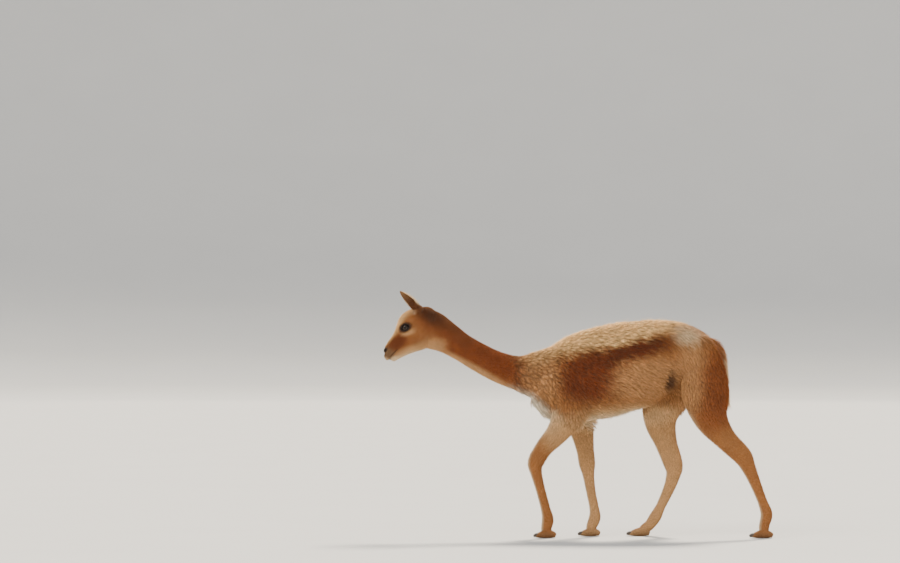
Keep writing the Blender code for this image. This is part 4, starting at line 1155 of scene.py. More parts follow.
def head_skin(voxel):
    """The head's own skin, with its lids, mouth, nostrils and ears."""
    forms = head_forms()
    for sign in (LEFT, RIGHT):
        ear = ear_blade("ear", sign, 0.0)
        boolean(ear, [ear_blade("cup", sign, EAR_WALL)])
        forms.append(ear)
    head = fused(forms, "head skin", voxel, smoothing=5)
    press(head.data, MOUTH_LINE, *MOUTH_GROOVE)
    press_cleft(head.data)
    inset(head)
    press(head.data, LID_FOLD, *LID_GROOVE)
    press(head.data, LOWER_FOLD, *LOWER_GROOVE)
    cutters = []
    for sign in (LEFT, RIGHT):
        socket = (EYE_RADIUS + EYE_ROOM,) * 3
        cutters.append(ellipsoid("socket", mirrored(EYE_CENTRE, sign), socket, 0.0))
        cutters.append(eye_opening(sign))
        cutters.append(ellipsoid("nostril", mirrored(NOSTRIL_CENTRE, sign), NOSTRIL_RADII,
                                 NOSTRIL_PITCH))
    boolean(head, cutters)
    boolean(head, [lid_rim(LEFT), lid_rim(RIGHT)], "UNION")
    return head


# Colours


def display_to_light(tone):
    """Turns a display colour of 0-255 into the light values that a material takes."""
    share = np.array(tone) / 255.0
    return np.where(share <= 0.04045, share / 12.92, ((share + 0.055) / 1.055) ** 2.4)


def painted(colours, tone, amount):
    """Blends a named tone into an array of colours."""
    return colours + (display_to_light(TONES[tone]) - colours) * amount[:, None]


def patch_amount(places, patch):
    """How strongly a patch of tone, painted shade or painted highlight covers each point."""
    turn = radians(patch.pitch)
    away = np.abs(places * (0, 1, 0)) + places * (1, 0, 1) - np.array(patch.centre)
    along = away[:, 0] * cos(turn) + away[:, 2] * sin(turn)
    up = away[:, 2] * cos(turn) - away[:, 0] * sin(turn)
    reach = np.sqrt((along / patch.radii[0]) ** 2 + (away[:, 1] / patch.radii[1]) ** 2
                    + (up / patch.radii[2]) ** 2)
    amount = patch.strength * (1.0 - eased(reach, 1.0 - patch.softness,
                                             1.0 + patch.softness))
    return amount * (places[:, 1] * patch.side >= 0)


def ear_side(places, normals):
    """Tells the cup of each ear from its back, how far out on the ear each point is, and how
    near the edge of the leaf."""
    mirror = np.ones_like(places)
    mirror[:, 1] = np.where(places[:, 1] < 0, LEFT, RIGHT)
    facing = np.array(EAR_FACING) * mirror
    root = np.array(EAR_ROOT) * mirror
    along = np.array(EAR_TIP) * mirror - root
    length = np.linalg.norm(along, axis=1)
    share = ((places - root) * along).sum(axis=1) / length ** 2
    facing = unit(facing - along * ((facing * along).sum(axis=1) / length ** 2)[:, None])
    across = np.cross(unit(along), facing)
    turn = pi * np.clip(EAR_SWELL_START + (1.0 - EAR_SWELL_START) * share, 0.0, 1.0)
    half_width = EAR_HALF_WIDTH * (np.sin(turn) ** EAR_FULLNESS + EAR_LEAST_SWELL)
    outwards = np.abs(((places - root) * across).sum(axis=1)) / half_width
    return (normals * facing).sum(axis=1), share, outwards


def leg_tones(colours, places, normals, regions):
    """Paints the legs' tones, with painted shade dulling their pale insides."""
    on_leg = np.isin(regions, ("leg", "foot", "thigh")).astype(float)
    sides = np.where(places[:, 1] < 0, LEFT, RIGHT)
    facing = {"all round": np.ones(len(places)), "front": -normals[:, 0],
              "inside": -normals[:, 1] * sides}
    for tone, strength, way, turn, fade in LEG_TONES:
        amount = on_leg * eased(facing[way], *turn) * (1.0 - eased(places[:, 2], *fade))
        colours = painted(colours, tone, strength * amount)
    return colours


def ear_tones(colours, places, normals, regions):
    """Paints the ears: greyish backs, painted shade in the cups, and pale rims."""
    facing, share, outwards = ear_side(places, normals)
    on_ear = (regions == "ear").astype(float)
    # painted shade in the hollow of each cup, deepest towards the root
    cup = on_ear * eased(facing, *EAR_CUP_SHADE_FACING)
    rim = on_ear * eased(outwards, *EAR_RIM_WIDTH) * eased(share, *EAR_RIM_START)
    colours = painted(colours, "grey brown", on_ear * 0.7)
    colours = painted(colours, "dark brown", cup * (1.0 - eased(share, *EAR_CUP_SHADE_FADE)))
    return painted(colours, "cream", rim * 0.85)


def face_tones(colours, places):
    """Paints the mouth, the lids, the shadow round the eyes and the nose, and tells how bare
    the skin is."""
    # slate along the mouth: the lips' dark bare skin, with painted shade in the slit between them
    mouth = bell(distance_to_line(places, MOUTH_LINE), MOUTH_SKIN_WIDTH)
    colours = painted(colours, "slate", 0.9 * mouth)
    bare = 0.8 * (mouth > 0.5)
    for sign in (LEFT, RIGHT):
        seen = in_eye_frame(places, sign)
        lids = 1.0 - eased(oval_reach(seen, LID_SKIN_LENGTH, LID_SKIN_HEIGHT), 0.94, 1.10)
        lids *= seen[:, 1] > 0.004
        shadow = 1.0 - eased(oval_reach(seen, EYE_SHADOW_LENGTH, EYE_SHADOW_HEIGHT), 0.8, 1.2)
        shadow *= seen[:, 1] > 0
        near = np.linalg.norm(places - np.array(mirrored(NOSTRIL_CENTRE, sign)), axis=1)
        nose = 1.0 - eased(near, *NOSE_SKIN)
        colours = painted(colours, "umber", 0.85 * shadow)
        colours = painted(colours, "black", 0.92 * lids)
        colours = painted(colours, "black", 0.92 * nose)
        bare = np.maximum(bare, np.maximum(lids, nose))
    return colours, bare


def skin_tones(places, normals, regions):
    """The colour of skin and coat at points, with the share of bare skin as a fourth value."""
    colours = np.tile(display_to_light(TONES["fawn"]), (len(places), 1))
    for patch in MARKINGS_AND_PAINTED_LIGHT:
        colours = painted(colours, patch.tone, patch_amount(places, patch))
    colours = leg_tones(colours, places, normals, regions)
    colours = ear_tones(colours, places, normals, regions)
    colours, bare = face_tones(colours, places)
    bare = np.maximum(bare, 1.0 - eased(places[:, 2], *SOLE_HEIGHTS))
    return np.column_stack((np.clip(colours, 0.0, 1.0), bare))


def save_tones(mesh, name, values):
    """Keeps one colour a vertex, for the materials to read."""
    layer = mesh.color_attributes.new(name=name, type="FLOAT_COLOR", domain="POINT")
    layer.data.foreach_set("color", values.astype(np.float32).ravel())


# Materials


class Finish:
    """A material and the nodes that give its surface."""

    def __init__(self, name):
        self.material = bpy.data.materials.new(name)
        self.material.use_nodes = True
        self.tree = self.material.node_tree
        self.shader = self.tree.nodes["Principled BSDF"]

    def add(self, kind, links=(), **values):
        """Adds a node, sets its values and links what leads into it."""
        node = self.tree.nodes.new(kind)
        for key, value in values.items():
            if key in node.inputs:
                node.inputs[key].default_value = value
            else:
                setattr(node, key, value)
        for socket, source in links:
            self.tree.links.new(source, node.inputs[socket])
        return node

    def attribute(self, name):
        """The outputs of a value that the mesh carries."""
        return self.add("ShaderNodeAttribute", attribute_name=name).outputs

    def place(self):
        """The place of a point on the object."""
        return self.add("ShaderNodeTexCoord").outputs["Object"]

    def noise(self, place, scale, detail=2.0):
        """Cloudy noise."""
        return self.add("ShaderNodeTexNoise", [("Vector", place)], Scale=scale,
                        Detail=detail).outputs["Fac"]

    def ranged(self, source, low, high, start=0.0, stop=1.0):
        """Makes a value that runs from start to stop run from low to high."""
        node = self.add("ShaderNodeMapRange", [("Value", source)])
        for socket, value in (("From Min", start), ("From Max", stop), ("To Min", low),
                              ("To Max", high)):
            node.inputs[socket].default_value = value
        return node.outputs["Result"]

    def mixed(self, share, first, second):
        """Blends two values, of which the second may be a number."""
        node = self.add("ShaderNodeMix", [(0, share), (2, first)], data_type="FLOAT")
        if isinstance(second, float):
            node.inputs[3].default_value = second
        else:
            self.tree.links.new(second, node.inputs[3])
        return node.outputs[0]

    def multiplied(self, *sources):
        """Multiplies values with one another."""
        product = sources[0]
        for source in sources[1:]:
            product = self.add("ShaderNodeMath", [(0, product), (1, source)],
                               operation="MULTIPLY").outputs["Value"]
        return product

    def shaded(self, colour, share):
        """Makes a colour lighter or darker by a share."""
        return self.add("ShaderNodeVectorMath", [(0, colour), ("Scale", share)],
                        operation="SCALE").outputs["Vector"]

    def bump(self, height, strength, distance):
        """Turns a height into the direction that the surface faces."""
        return self.add("ShaderNodeBump", [("Height", height)], Strength=strength,
                        Distance=distance).outputs["Normal"]

    def plain(self, colour):
        """One colour, for a pattern to work on."""
        base = self.add("ShaderNodeRGB")
        base.outputs[0].default_value = (*colour, 1.0)
        return base.outputs[0]

    def done(self, links, values):
        """Sets the shader's sockets and gives the material."""
        for socket, source in links.items():
            self.tree.links.new(source, self.shader.inputs[socket])
        for socket, value in values.items():
            self.shader.inputs[socket].default_value = value
        return self.material


def fur_material(name, root_shade, tip_light):
    """Hair in the coat's own tones, darkened towards the root by painted shade, in fine strands
    along each tuft.
    """
    fur = Finish(name)
    tones = fur.attribute("coat_tone")
    mottle = fur.noise(fur.place(), 26.0, 3.0)
    strands = fur.noise(fur.attribute("strand")["Vector"], 1.0)
    # painted shade darkens each tuft from the tip towards the root
    shade = fur.multiplied(fur.ranged(mottle, 0.86, 1.12, 0.3, 0.7),
                           fur.ranged(tones["Alpha"], root_shade, tip_light),
                           fur.ranged(strands, 0.74, 1.30, 0.32, 0.68))
    return fur.done(
        {"Base Color": fur.shaded(tones["Color"], shade),
         "Normal": fur.bump(strands, 0.5, 0.0006)},
        {"Roughness": 0.72, "Specular IOR Level": 0.16, "Sheen Weight": 0.14,
         "Sheen Roughness": 0.45, "Sheen Tint": (1.0, 0.86, 0.66, 1.0)})


def skin_material():
    """Skin with short flat hair as bump, darkened by painted shade where the coat covers it,
    smooth and moist where it is bare.
    """
    skin = Finish("vicuna skin")
    tones = skin.attribute("coat_tone")
    place = skin.place()
    combed = skin.add("ShaderNodeMapping", [("Vector", place)])
    combed.inputs["Scale"].default_value = (1.0, 1.0, 0.16)
    hair = skin.noise(combed.outputs["Vector"], 1000.0)
    pores = skin.add("ShaderNodeTexVoronoi", [("Vector", place)], Scale=1500.0)
    mottle = skin.noise(place, 40.0, 4.0)
    bare = tones["Alpha"]
    streaks = skin.mixed(bare, skin.ranged(hair, 0.66, 1.34, 0.34, 0.66), 1.0)
    # painted shade: under the coat the skin is darkened to 0.6 of its tone
    shade = skin.multiplied(skin.ranged(mottle, 0.85, 1.1, 0.3, 0.7),
                            skin.ranged(bare, 0.60, 1.0), streaks)
    relief = skin.mixed(bare, hair, pores.outputs["Distance"])
    return skin.done(
        {"Base Color": skin.shaded(tones["Color"], shade),
         "Normal": skin.bump(relief, 0.6, 0.0007),
         "Roughness": skin.ranged(bare, 0.85, 0.58)},
        {"Specular IOR Level": 0.14})


def ramp_of(finish, source, stops):
    """Turns a value into colours by a list of places and colours."""
    ramp = finish.add("ShaderNodeValToRGB", [("Fac", source)])
    elements = ramp.color_ramp.elements
    for i, (position, colour) in enumerate(stops):
        stop = elements[i] if i < 2 else elements.new(position)
        stop.position = position
        stop.color = (*colour, 1.0)
    return ramp.outputs["Color"]


def eye_material():
    """A dark, wet eye: brown iris, long level pupil and a clear coat."""
    eye = Finish("vicuna eye")
    fibres = eye.noise(eye.place(), 900.0, 4.0)
    iris = tuple(sizes().iris_colour)
    outer_iris = tuple(value * 1.5 for value in iris)
    colour = ramp_of(eye, eye.attribute("eye_ring")["Fac"], (
        (0.30, (0.002, 0.002, 0.002)), (0.36, iris), (0.78, outer_iris),
        (0.88, (0.004, 0.003, 0.003))))
    return eye.done({"Base Color": eye.shaded(colour, eye.ranged(fibres, 0.6, 1.4))},
                    {"Roughness": 0.04, "Specular IOR Level": 0.22})


def lash_material():
    """Dark brown hair."""
    lash = Finish("vicuna lashes")
    tint = lash.noise(lash.place(), 300.0)
    colour = ramp_of(lash, tint, ((0.0, (0.004, 0.003, 0.002)), (1.0, (0.020, 0.012, 0.007))))
    return lash.done({"Base Color": colour}, {"Roughness": 0.4})


def nail_material():
    """Dark horn with growth rings."""
    nail = Finish("vicuna nail")
    rings = nail.add("ShaderNodeTexWave", [("Vector", nail.place())], Scale=120.0,
                     Distortion=9.0, Detail=3.0).outputs["Fac"]
    colour = nail.shaded(nail.plain(sizes().nail_colour), nail.ranged(rings, 0.82, 1.18))
    return nail.done({"Base Color": colour, "Normal": nail.bump(rings, 0.15, 0.0003)},
                     {"Roughness": 0.62, "Specular IOR Level": 0.3})


def floor_material():
    """Pale studio floor with a faint unevenness."""
    floor = Finish("studio floor")
    cloud = floor.noise(floor.place(), 1.5, 3.0)
    colour = floor.shaded(floor.plain(sizes().floor_colour), floor.ranged(cloud, 0.97, 1.03))
    return floor.done({"Base Color": colour}, {"Roughness": 0.9})


# The coat


def near_order(places):
    """Puts points in an order where each is close in space to the one before it."""
    cells = ((places - places.min(axis=0)) / 0.002).astype(np.int64)
    key = np.zeros(len(places), dtype=np.int64)
    for bit in range(10):
        for axis in range(3):
            key |= ((cells[:, axis] >> bit) & 1) << (3 * bit + axis)
    return key.argsort(kind="stable")


class Skin:
    """The finished skin as arrays, for setting tufts on it."""

    def __init__(self, thing):
        mesh = thing.data
        self.places = points_of(mesh)
        self.normals = normals_of(mesh)
        corners = np.empty(len(mesh.loops), dtype=int)
        mesh.loops.foreach_get("vertex_index", corners)
        self.triangles = corners.reshape(-1, 3)
        spread = np.empty(len(mesh.loops) * 2)
        mesh.uv_layers["OFBake"].uv.foreach_get("vector", spread)
        self.spread = spread.reshape(-1, 3, 2)
        tones = np.empty(len(mesh.vertices) * 4)
        mesh.color_attributes["coat_tone"].data.foreach_get("color", tones)
        self.tones = tones.reshape(-1, 4)
        middle = self.places[self.triangles].mean(axis=1)
        self.regions, self.coat = coat_at(middle, mixing=0.35)
        sides = self.places[self.triangles]
        normal = np.cross(sides[:, 1] - sides[:, 0], sides[:, 2] - sides[:, 0])
        self.areas = np.linalg.norm(normal, axis=1) / 2
        self.side = np.where(middle[:, 1] < 0, LEFT, RIGHT)
        self.bare = self.tones[self.triangles, 3].mean(axis=1)
        self.order = near_order(middle)
        self.surface = None

    def laid(self, places, heights):
        """Moves points onto the skin, each lifted off it by its own height."""
        if self.surface is None:
            self.surface = BVHTree.FromPolygons(self.places.tolist(), self.triangles.tolist(),
                                                all_triangles=True)
        laid = np.empty_like(places)
        for i, place in enumerate(places):
            spot, normal = self.surface.find_nearest(Vector(place))[:2]
            laid[i] = spot + normal * heights[i]
        return laid


def drawn_roots(skin, regions, side, draw):
    """Draws the roots of a piece's tufts, evenly over its triangles."""
    chosen = np.isin(skin.regions, regions) & (skin.bare < 0.5)
    if side:
        chosen &= skin.side == side
    length, _, width, layers = skin.coat[:, 3:7].T
    coverage = np.where(chosen, skin.areas * layers / (length * width * TUFT_COVER), 0.0)
    amount = coverage[skin.order].cumsum()
    amount *= sizes().coat_thickness * 1.0
    count = int(amount[-1])
    steps = np.arange(count) + 0.5 + draw.uniform(-0.3, 0.3, count)
    picks = skin.order[np.searchsorted(amount, steps)]
    first, second = draw.random((2, count))
    root_share = np.sqrt(first)
    weights = np.stack((1 - root_share, root_share * (1 - second), root_share * second), axis=1)
    return picks, weights


def blended(values, weights):
    """Reads a value inside triangles from their corners."""
    return (values * weights[:, :, None]).sum(axis=1)


def locks_of(places, lie, reach, draw):
    """Gathers tufts into locks: the middle tuft of each lock, the lock of each tuft and how
    far each is inside its lock, from 0 on a crack between two locks to 1."""
    cells = {}
    for i in draw.permutation(len(places)):
        cells.setdefault(tuple(np.floor(places[i] / reach).astype(int)), i)
    middles = np.array(sorted(cells.values()))
    lock = np.empty(len(places), dtype=int)
    inside = np.empty(len(places))
    chunk = 3000
    for start in range(0, len(places), chunk):
        away = places[start:start + chunk, None, :] - places[middles][None, :, :]
        along = (away * lie[middles][None, :, :]).sum(axis=2)
        distance = np.sqrt((away ** 2).sum(axis=2) - LOCK_STRETCH * along ** 2)
        pair = np.argpartition(distance, 1, axis=1)[:, :2]
        near = np.take_along_axis(distance, pair, axis=1)
        order = near.argsort(axis=1)
        pair = np.take_along_axis(pair, order, axis=1)
        near = np.take_along_axis(near, order, axis=1)
        lock[start:start + chunk] = pair[:, 0]
        gap = (near[:, 1] - near[:, 0]) / reach
        inside[start:start + chunk] = np.clip(gap / LOCK_EDGE, 0.0, 1.0)
    return middles, lock, inside


def drawn_into_locks(root, lie, length, region, draw):
    """Draws the tufts of a fleece into locks: how far each tip is pulled, how high each tuft
    rises, how light it is, with painted shade in the cracks between locks, and where on the skin
    it takes its tone."""
    spacing, drop, crack_shade = LOCKS.get(region, OTHER_LOCKS)
    middles, lock, inside = locks_of(root, lie, spacing, draw)
    middle = middles[lock]
    pull = (root[middle] + lie[middle] * length[middle][:, None]
            - root - lie * length[:, None]) * sizes().clumping
    high = np.clip(1.0 + draw.normal(0.0, LOCK_RISE_SPREAD, len(middles)), *LOCK_RISE_RANGE)
    rise = high[lock] * (1.0 - drop * (1.0 - inside))
    light = (1.0 + draw.normal(0.0, LOCK_SHADE_SPREAD, len(middles)))[lock]
    # painted shade in the cracks between locks
    light *= 1.0 - crack_shade * (1.0 - eased(inside, 0.0, 0.5))
    source = root - lie * (length * draw.random(len(middles))[lock])[:, None]
    return pull, rise, light, source


def tuft_faces(count, rings):
    """The faces of many three-sided tufts. A tuft of one ring comes to a point at both ends."""
    pointed = 1 if rings == 1 else 0
    faces = [] if pointed else [(0, 2, 1)]
    for side in range(3 * pointed):
        faces.append((1 + (side + 1) % 3, 1 + side, 0))
    for ring in range(rings - 1):
        for side in range(3):
            a = ring * 3 + side
            b = ring * 3 + (side + 1) % 3
            faces.append((a, b, b + 3))
            faces.append((a, b + 3, a + 3))
    tip = rings * 3 + pointed
    for side in range(3):
        faces.append((tip - 3 + side, tip - 3 + (side + 1) % 3, tip))
    starts = np.arange(count) * (tip + 1)
    return (np.array(faces)[None, :, :] + starts[:, None, None]).reshape(-1, 3)


def mesh_of_tufts(name, points, faces):
    """A mesh from the points of every tuft and the faces between them."""
    mesh = bpy.data.meshes.new(name)
    mesh.vertices.add(points.shape[0] * points.shape[1])
    mesh.vertices.foreach_set("co", points.ravel())
    mesh.loops.add(len(faces) * 3)
    mesh.loops.foreach_set("vertex_index", faces.ravel().astype(np.int32))
    mesh.polygons.add(len(faces))
    mesh.polygons.foreach_set("loop_start", np.arange(0, len(faces) * 3, 3, dtype=np.int32))
    mesh.update(calc_edges=True)
    mesh.shade_smooth()
    return mesh


def build_coat(name, regions, side, material):
    """Sets one piece of the coat on the skin, as one mesh of solid tufts."""
    long_coat = regions[0] in LONG_REGIONS
    curved = regions[0] in CURVED_REGIONS
    shape = TUFTS["curved" if curved else "long" if long_coat else "short"]
    skin = Skin(bpy.data.objects["skin"])
    draw = np.random.default_rng(sizes().tuft_seed + len(name) * 7 + sum(map(ord, name)))
    picks, weights = drawn_roots(skin, regions, side, draw)
    count = len(picks)
    corners = skin.triangles[picks]
    root = blended(skin.places[corners], weights)
    normal = unit(blended(skin.normals[corners], weights))
    spread = blended(skin.spread[picks], weights)
    tones = blended(skin.tones[corners], weights)[:, :3]
    values = coat_at(root)[1]
    lie = values[:, :3] + draw.normal(0.0, LIE_SPREAD, (count, 3))
    length = values[:, 3] * sizes().coat_length * draw.uniform(*LENGTH_RANGE, count)
    depth = values[:, 4]
    width = values[:, 5] * draw.uniform(*WIDTH_RANGE, count)
    outwards = (unit(lie) * normal).sum(axis=1)
    onward = shape.onward * eased(outwards, 0.35, 0.9)
    lie = unit(unit(lie) - normal * (outwards * (1.0 - onward))[:, None])
    across = np.cross(normal, lie)

    tip_height = np.clip(draw.normal(shape.tip_height, TIP_SPREAD, count), *TIP_RANGE)
    shading = draw.uniform(*SHADE_RANGE, count)
    rise = np.ones(count)
    pull = np.zeros((count, 3))
    if long_coat:
        pull, rise, light, source = drawn_into_locks(root, lie, length, regions[0], draw)
        # the locks' own tones, with painted shade in the cracks between them
        shading *= light
        tones = skin_tones(source, normal, np.full(count, regions[0]))[:, :3]
    wisp = draw.random(count) < shape.wisps
    width = np.where(wisp, width * WISP_WIDTH, width)
    length = np.where(wisp, length * WISP_LENGTH, length)
    stray = np.where(wisp, WISP_HEIGHT, 1.0)

    def lifted(spots, heights):
        if long_coat:
            return spots + normal * heights[:, None]
        return skin.laid(spots, heights)

    rings = len(shape.shares)
    pointed = 1 if rings == 1 else 0
    points = np.empty((count, rings * 3 + 1 + pointed, 3))
    points[:, 0] = root - normal * (depth * ROOT_DEPTH)[:, None]
    for ring, t in enumerate(shape.shares):
        centre = root + lie * (length * t)[:, None] + pull * (t * t)
        centre = lifted(centre, depth * shape.heights[ring] * rise * (stray if t else 1.0))
        half = (width * shape.widths[ring] / 2)[:, None]
        first_point = ring * 3 + pointed
        points[:, first_point] = centre - across * half - normal * half * EDGE_DROP
        points[:, first_point + 1] = centre + across * half - normal * half * EDGE_DROP
        points[:, first_point + 2] = centre + normal * half * RIDGE_RISE
    tip = root + lie * length[:, None] + pull
    points[:, -1] = lifted(tip, depth * tip_height * rise * stray)
    points[:, :, 2] = np.maximum(points[:, :, 2], COAT_LOWEST)

    faces = tuft_faces(count, rings)
    if len(faces) > PIECE_LIMIT:
        raise RuntimeError(f"{name} has {len(faces)} triangles")
    mesh = mesh_of_tufts(name, points, faces)
    per_tuft = points.shape[1]
    along = np.repeat([0.0, *shape.shares, 1.0], [pointed] + [3] * rings + [1])
    sideways = np.array([0.5] * pointed + [0.0, 1.0, 0.5] * rings + [0.5])
    colours = np.empty((count, per_tuft, 4))
    colours[:, :, :3] = (tones * shading[:, None])[:, None, :]
    # the share along each tuft, which the painted shade towards the root reads
    colours[:, :, 3] = along
    save_tones(mesh, "coat_tone", np.clip(colours, 0.0, 1.0).reshape(-1, 4))
    strand = np.empty((count, per_tuft, 3))
    strand[:, :, 0] = sideways * (width * STRANDS_PER_METRE)[:, None]
    strand[:, :, 1] = along * (length * WAVES_PER_METRE)[:, None]
    strand[:, :, 2] = draw.random(count)[:, None] * STRAND_SHIFT
    layer = mesh.attributes.new(name="strand", type="FLOAT_VECTOR", domain="POINT")
    layer.data.foreach_set("vector", strand.reshape(-1).astype(np.float32))
    unwrap = np.empty((count, per_tuft, 2))
    unwrap[:, :, 0] = spread[:, None, 0] + (sideways - 0.5) * BAKE_PATCH
    unwrap[:, :, 1] = spread[:, None, 1] + (along - 0.5) * BAKE_PATCH
    layer = mesh.uv_layers.new(name="OFBake")
    layer.uv.foreach_set("vector", unwrap.reshape(-1, 2)[faces.ravel()].ravel())
    coat = bpy.data.objects.new(name, mesh)
    bpy.context.scene.collection.objects.link(coat)
    mesh.materials.append(material)
    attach(coat, "root")
    print(name, count, "tufts", len(faces), "triangles")
    return coat


# Operators


class VICUNA_OT_skin(bpy.types.Operator):
    """Builds the one skin of the whole animal, drawn in by the depth of its coat"""

    bl_idname = "vicuna.skin"
    bl_label = "Skin"

    def execute(self, context):
        settings = context.scene.vicuna
        body = fused(body_forms(), "body skin", settings.body_voxel, smoothing=10)
        inset(thinned(body, BODY_TRIANGLES))
        parts = {"head": thinned(head_skin(settings.head_voxel), HEAD_TRIANGLES)}
        for name, leg in LEGS.items():
            foot = fused(foot_forms(leg), "foot skin", settings.foot_voxel, smoothing=3)
            parts[name] = inset(thinned(foot, FOOT_TRIANGLES))
        skin = joined_skin(body, parts)
        places = points_of(skin.data)
        places[:, 2] = np.maximum(places[:, 2], SKIN_LOWEST)
        set_points(skin.data, places)
        skin.data.materials.clear()
        skin.data.materials.append(skin_material())
        skin.data.shade_smooth()
        regions = coat_at(places)[0]
        tones = skin_tones(places, normals_of(skin.data), regions)
        save_tones(skin.data, "coat_tone", tones)
        skin.data.uv_layers.new(name="OFBake")
        context.view_layer.objects.active = skin
        skin.select_set(True)
        bpy.ops.object.mode_set(mode="EDIT")
        bpy.ops.mesh.select_all(action="SELECT")
        bpy.ops.uv.smart_project(angle_limit=radians(80), island_margin=0.004)
        bpy.ops.object.mode_set(mode="OBJECT")
        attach(skin, "root")
        solids = [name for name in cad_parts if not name.startswith(("eye", "nail"))]
        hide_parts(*solids)
        print("skin", len(skin.data.polygons), "triangles")
        return {"FINISHED"}


class VICUNA_OT_eyes(bpy.types.Operator):
    """Builds the two eyes, with iris, pupil and cornea"""

    bl_idname = "vicuna.eyes"
    bl_label = "Eyes"

    def execute(self, context):
        material = eye_material()
        for sign, side in ((LEFT, "left"), (RIGHT, "right")):
            bm = bmesh.new()
            bmesh.ops.create_uvsphere(bm, u_segments=64, v_segments=48, radius=EYE_RADIUS)
            turn = Matrix.Rotation(radians(-90), 4, "X")
            bmesh.ops.transform(bm, matrix=turn, verts=bm.verts)
            rings = []
            for vert in bm.verts:
                x, y, z = vert.co
                if y < 0:
                    rings.append(1.0)
                    continue
                from_axis = Vector((x / IRIS_RADIUS, z / IRIS_RADIUS)).length
                pupil = Vector((x / PUPIL_STRETCH, z)).length / IRIS_RADIUS
                inside = pupil <= PUPIL_EDGE
                rings.append(pupil * PUPIL_SHADE if inside else max(from_axis, IRIS_START))
                vert.co.y += CORNEA_BULGE * max(0.0, 1.0 - from_axis ** 2)
            bmesh.ops.transform(bm, matrix=eye_frame(sign), verts=bm.verts)
            eye = object_from(bm, "eyeball_" + side)
            ring = eye.data.attributes.new(name="eye_ring", type="FLOAT", domain="POINT")
            ring.data.foreach_set("value", rings)
            eye.data.shade_smooth()
            eye.data.materials.append(material)
            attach(eye, "root")
            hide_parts("eye_" + side)
        return {"FINISHED"}


class VICUNA_OT_lashes(bpy.types.Operator):
    """Sets the long dark lashes on the upper lids and the short ones on the lower lids"""

    bl_idname = "vicuna.lashes"
    bl_label = "Lashes"

    def execute(self, context):
        draw = np.random.default_rng(sizes().tuft_seed)
        bm = bmesh.new()
        for sign in (LEFT, RIGHT):
            place = eye_frame(sign)
            for i, (along, up) in enumerate(almond(46)):
                lash = UPPER_LASH if up > 0 else LOWER_LASH
                if (lash is LOWER_LASH and i % 3) or abs(along) > LASH_REACH:
                    continue
                root = on_eye(along, up, EYE_RADIUS + LID_RIM * 1.2)
                length = lash.length * draw.uniform(*LASH_RANGE)
                fan = Vector((along * LASH_FAN, 1.0, lash.droop)).normalized()
                curl = Vector((0.0, -0.05, lash.curl))
                rings = []
                for share, radius in LASH_RINGS:
                    step = (fan + curl * 2 * share).normalized()
                    turn = Vector((0, 0, 1)).rotation_difference(step).to_matrix().to_4x4()
                    turn.translation = root + (fan * share + curl * share * share) * length
                    circle = bmesh.ops.create_circle(bm, segments=4, radius=radius, matrix=turn)
                    bmesh.ops.transform(bm, matrix=place, verts=circle["verts"])
                    rings.append(circle["verts"])
                bridge_rings(bm, rings)
        lashes = object_from(bm, "lashes")
        lashes.data.materials.append(lash_material())
        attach(lashes, "root")
        return {"FINISHED"}


class VICUNA_OT_nails(bpy.types.Operator):
    """Builds the eight toenails"""

    bl_idname = "vicuna.nails"
    bl_label = "Toenails"

    def execute(self, context):
        forms = []
        for leg in LEGS.values():
            for outward in (LEFT, RIGHT):
                side = leg.sign * leg.landmarks[-1].side + outward * (TOE_OFFSET + TOE_SPREAD / 2)
                base = leg.toe + NAIL_ROOT
                forms.append(loft("nail", [
                    (base + along, side, height, NAIL_RADIUS * depth, NAIL_RADIUS * width)
                    for along, height, depth, width in NAIL_ROWS], sides=20))
        bm = gathered(forms)
        for vert in bm.verts:
            vert.co.z = max(vert.co.z, NAIL_LOWEST)
        nails = object_from(bm, "toenails")
        nails.data.shade_smooth()
        nails.data.materials.append(nail_material())
        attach(nails, "root")
        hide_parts(*[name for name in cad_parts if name.startswith("nail")])
        return {"FINISHED"}


class VICUNA_OT_coat(bpy.types.Operator):
    """Sets one piece of the coat on the skin"""

    bl_idname = "vicuna.coat"
    bl_label = "Coat"

    piece: EnumProperty(
        name="Piece", description="The part of the coat to build",
        items=[(name, name.replace("_", " ").title(), "") for name in COAT_PIECES])

    def execute(self, context):
        regions, side = COAT_PIECES[self.piece]
        long_coat = regions[0] in LONG_REGIONS
        name = "vicuna fleece" if long_coat else "vicuna short hair"
        material = bpy.data.materials.get(name)
        if material is None:
            # painted shade at the roots, deeper in the long fleece
            material = fur_material(name, 0.50 if long_coat else 0.70, 1.36 if long_coat else 1.22)
        build_coat(self.piece, regions, side, material)
        return {"FINISHED"}


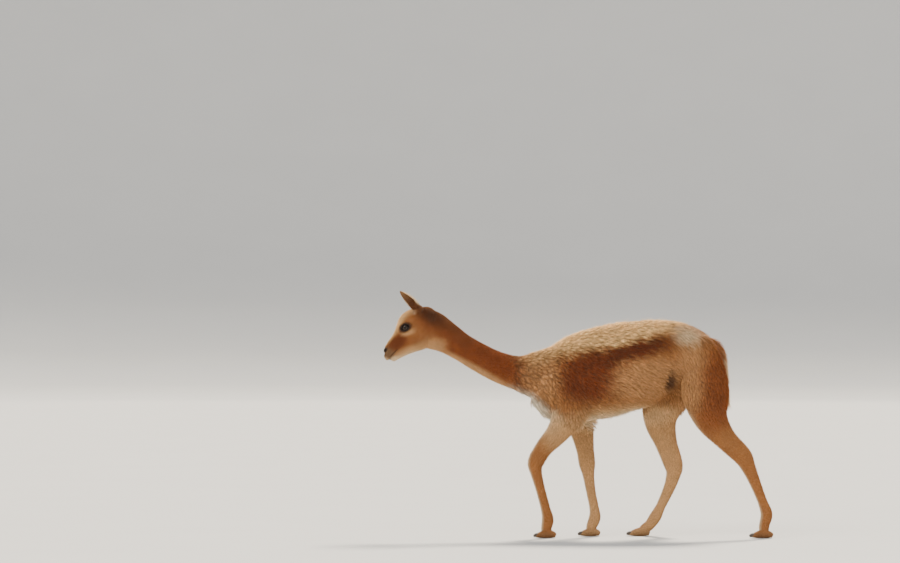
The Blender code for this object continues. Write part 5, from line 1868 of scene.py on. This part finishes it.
class VICUNA_OT_stage(bpy.types.Operator):
    """Sets the pale floor, the soft studio lights and the camera"""

    bl_idname = "vicuna.stage"
    bl_label = "Stage"

    def execute(self, context):
        settings = context.scene.vicuna
        bm = bmesh.new()
        profile = [(0.0, 0.0), (FLOOR_RADIUS, 0.0)]
        for i in range(1, WALL_STEPS + 1):
            angle = pi / 2 * i / WALL_STEPS
            profile.append((FLOOR_RADIUS + WALL_CURVE * sin(angle),
                            WALL_CURVE * (1.0 - cos(angle))))
        verts = [bm.verts.new((radius, 0.0, height)) for radius, height in profile]
        edges = [bm.edges.new(pair) for pair in zip(verts, verts[1:])]
        bmesh.ops.spin(bm, geom=verts + edges, cent=(0, 0, 0), axis=(0, 0, 1), angle=2 * pi,
                       steps=FLOOR_STEPS, use_merge=True)
        bmesh.ops.remove_doubles(bm, verts=bm.verts, dist=0.0001)
        floor = object_from(bm, "studio_floor")
        if floor.data.polygons[0].normal.z < 0:
            floor.data.flip_normals()
        floor.data.shade_smooth()
        floor.data.materials.append(floor_material())

        world = bpy.data.worlds.new("studio")
        context.scene.world = world
        world.use_nodes = True
        back = world.node_tree.nodes["Background"]
        back.inputs["Color"].default_value = SKY_COLOUR
        back.inputs["Strength"].default_value = settings.sky_strength
        for name, place, spread, strength, colour in LAMPS:
            lamp = bpy.data.lights.new(name, "SUN")
            lamp.angle = radians(spread)
            lamp.energy = getattr(settings, strength)
            lamp.color = colour
            thing = bpy.data.objects.new(name, lamp)
            thing.location = place
            thing.rotation_euler = (-Vector(place)).to_track_quat("-Z", "Y").to_euler()
            context.scene.collection.objects.link(thing)

        eye = bpy.data.cameras.new("camera")
        eye.lens = CAMERA_LENS
        eye.sensor_width = CAMERA_SENSOR
        eye.clip_end = CAMERA_SIGHT
        camera = bpy.data.objects.new("camera", eye)
        camera.location = (CAMERA_ALONG, -settings.camera_distance, CAMERA_HEIGHT)
        camera.rotation_euler = (radians(90), 0.0, 0.0)
        context.scene.collection.objects.link(camera)
        context.scene.camera = camera
        return {"FINISHED"}


class VICUNA_PT_panel(bpy.types.Panel):
    """Lists the settings and the pieces"""

    bl_idname = "VICUNA_PT_panel"
    bl_label = "Vicuna"
    bl_space_type = "VIEW_3D"
    bl_region_type = "UI"
    bl_category = "Vicuna"

    def draw(self, context):
        settings = context.scene.vicuna
        for name in VicunaSettings.__annotations__:
            self.layout.prop(settings, name)
        for operator in (VICUNA_OT_skin, VICUNA_OT_eyes, VICUNA_OT_lashes, VICUNA_OT_nails):
            self.layout.operator(operator.bl_idname)
        self.layout.operator_menu_enum(VICUNA_OT_coat.bl_idname, "piece")
        self.layout.operator(VICUNA_OT_stage.bl_idname)


CLASSES = (
    VicunaSettings,
    VICUNA_OT_skin,
    VICUNA_OT_eyes,
    VICUNA_OT_lashes,
    VICUNA_OT_nails,
    VICUNA_OT_coat,
    VICUNA_OT_stage,
    VICUNA_PT_panel,
)


def register():
    """Adds the classes and the settings to Blender."""
    for item in CLASSES:
        bpy.utils.register_class(item)
    bpy.types.Scene.vicuna = PointerProperty(type=VicunaSettings)


def unregister():
    """Takes the classes and the settings out again."""
    del bpy.types.Scene.vicuna
    for item in reversed(CLASSES):
        bpy.utils.unregister_class(item)


def main():
    """Builds every piece in order."""
    register()
    bpy.ops.vicuna.stage()
    bpy.ops.vicuna.skin()
    bpy.ops.vicuna.eyes()
    bpy.ops.vicuna.lashes()
    bpy.ops.vicuna.nails()
    for name in COAT_PIECES:
        bpy.ops.vicuna.coat(piece=name)


if __name__ == "__main__":
    main()
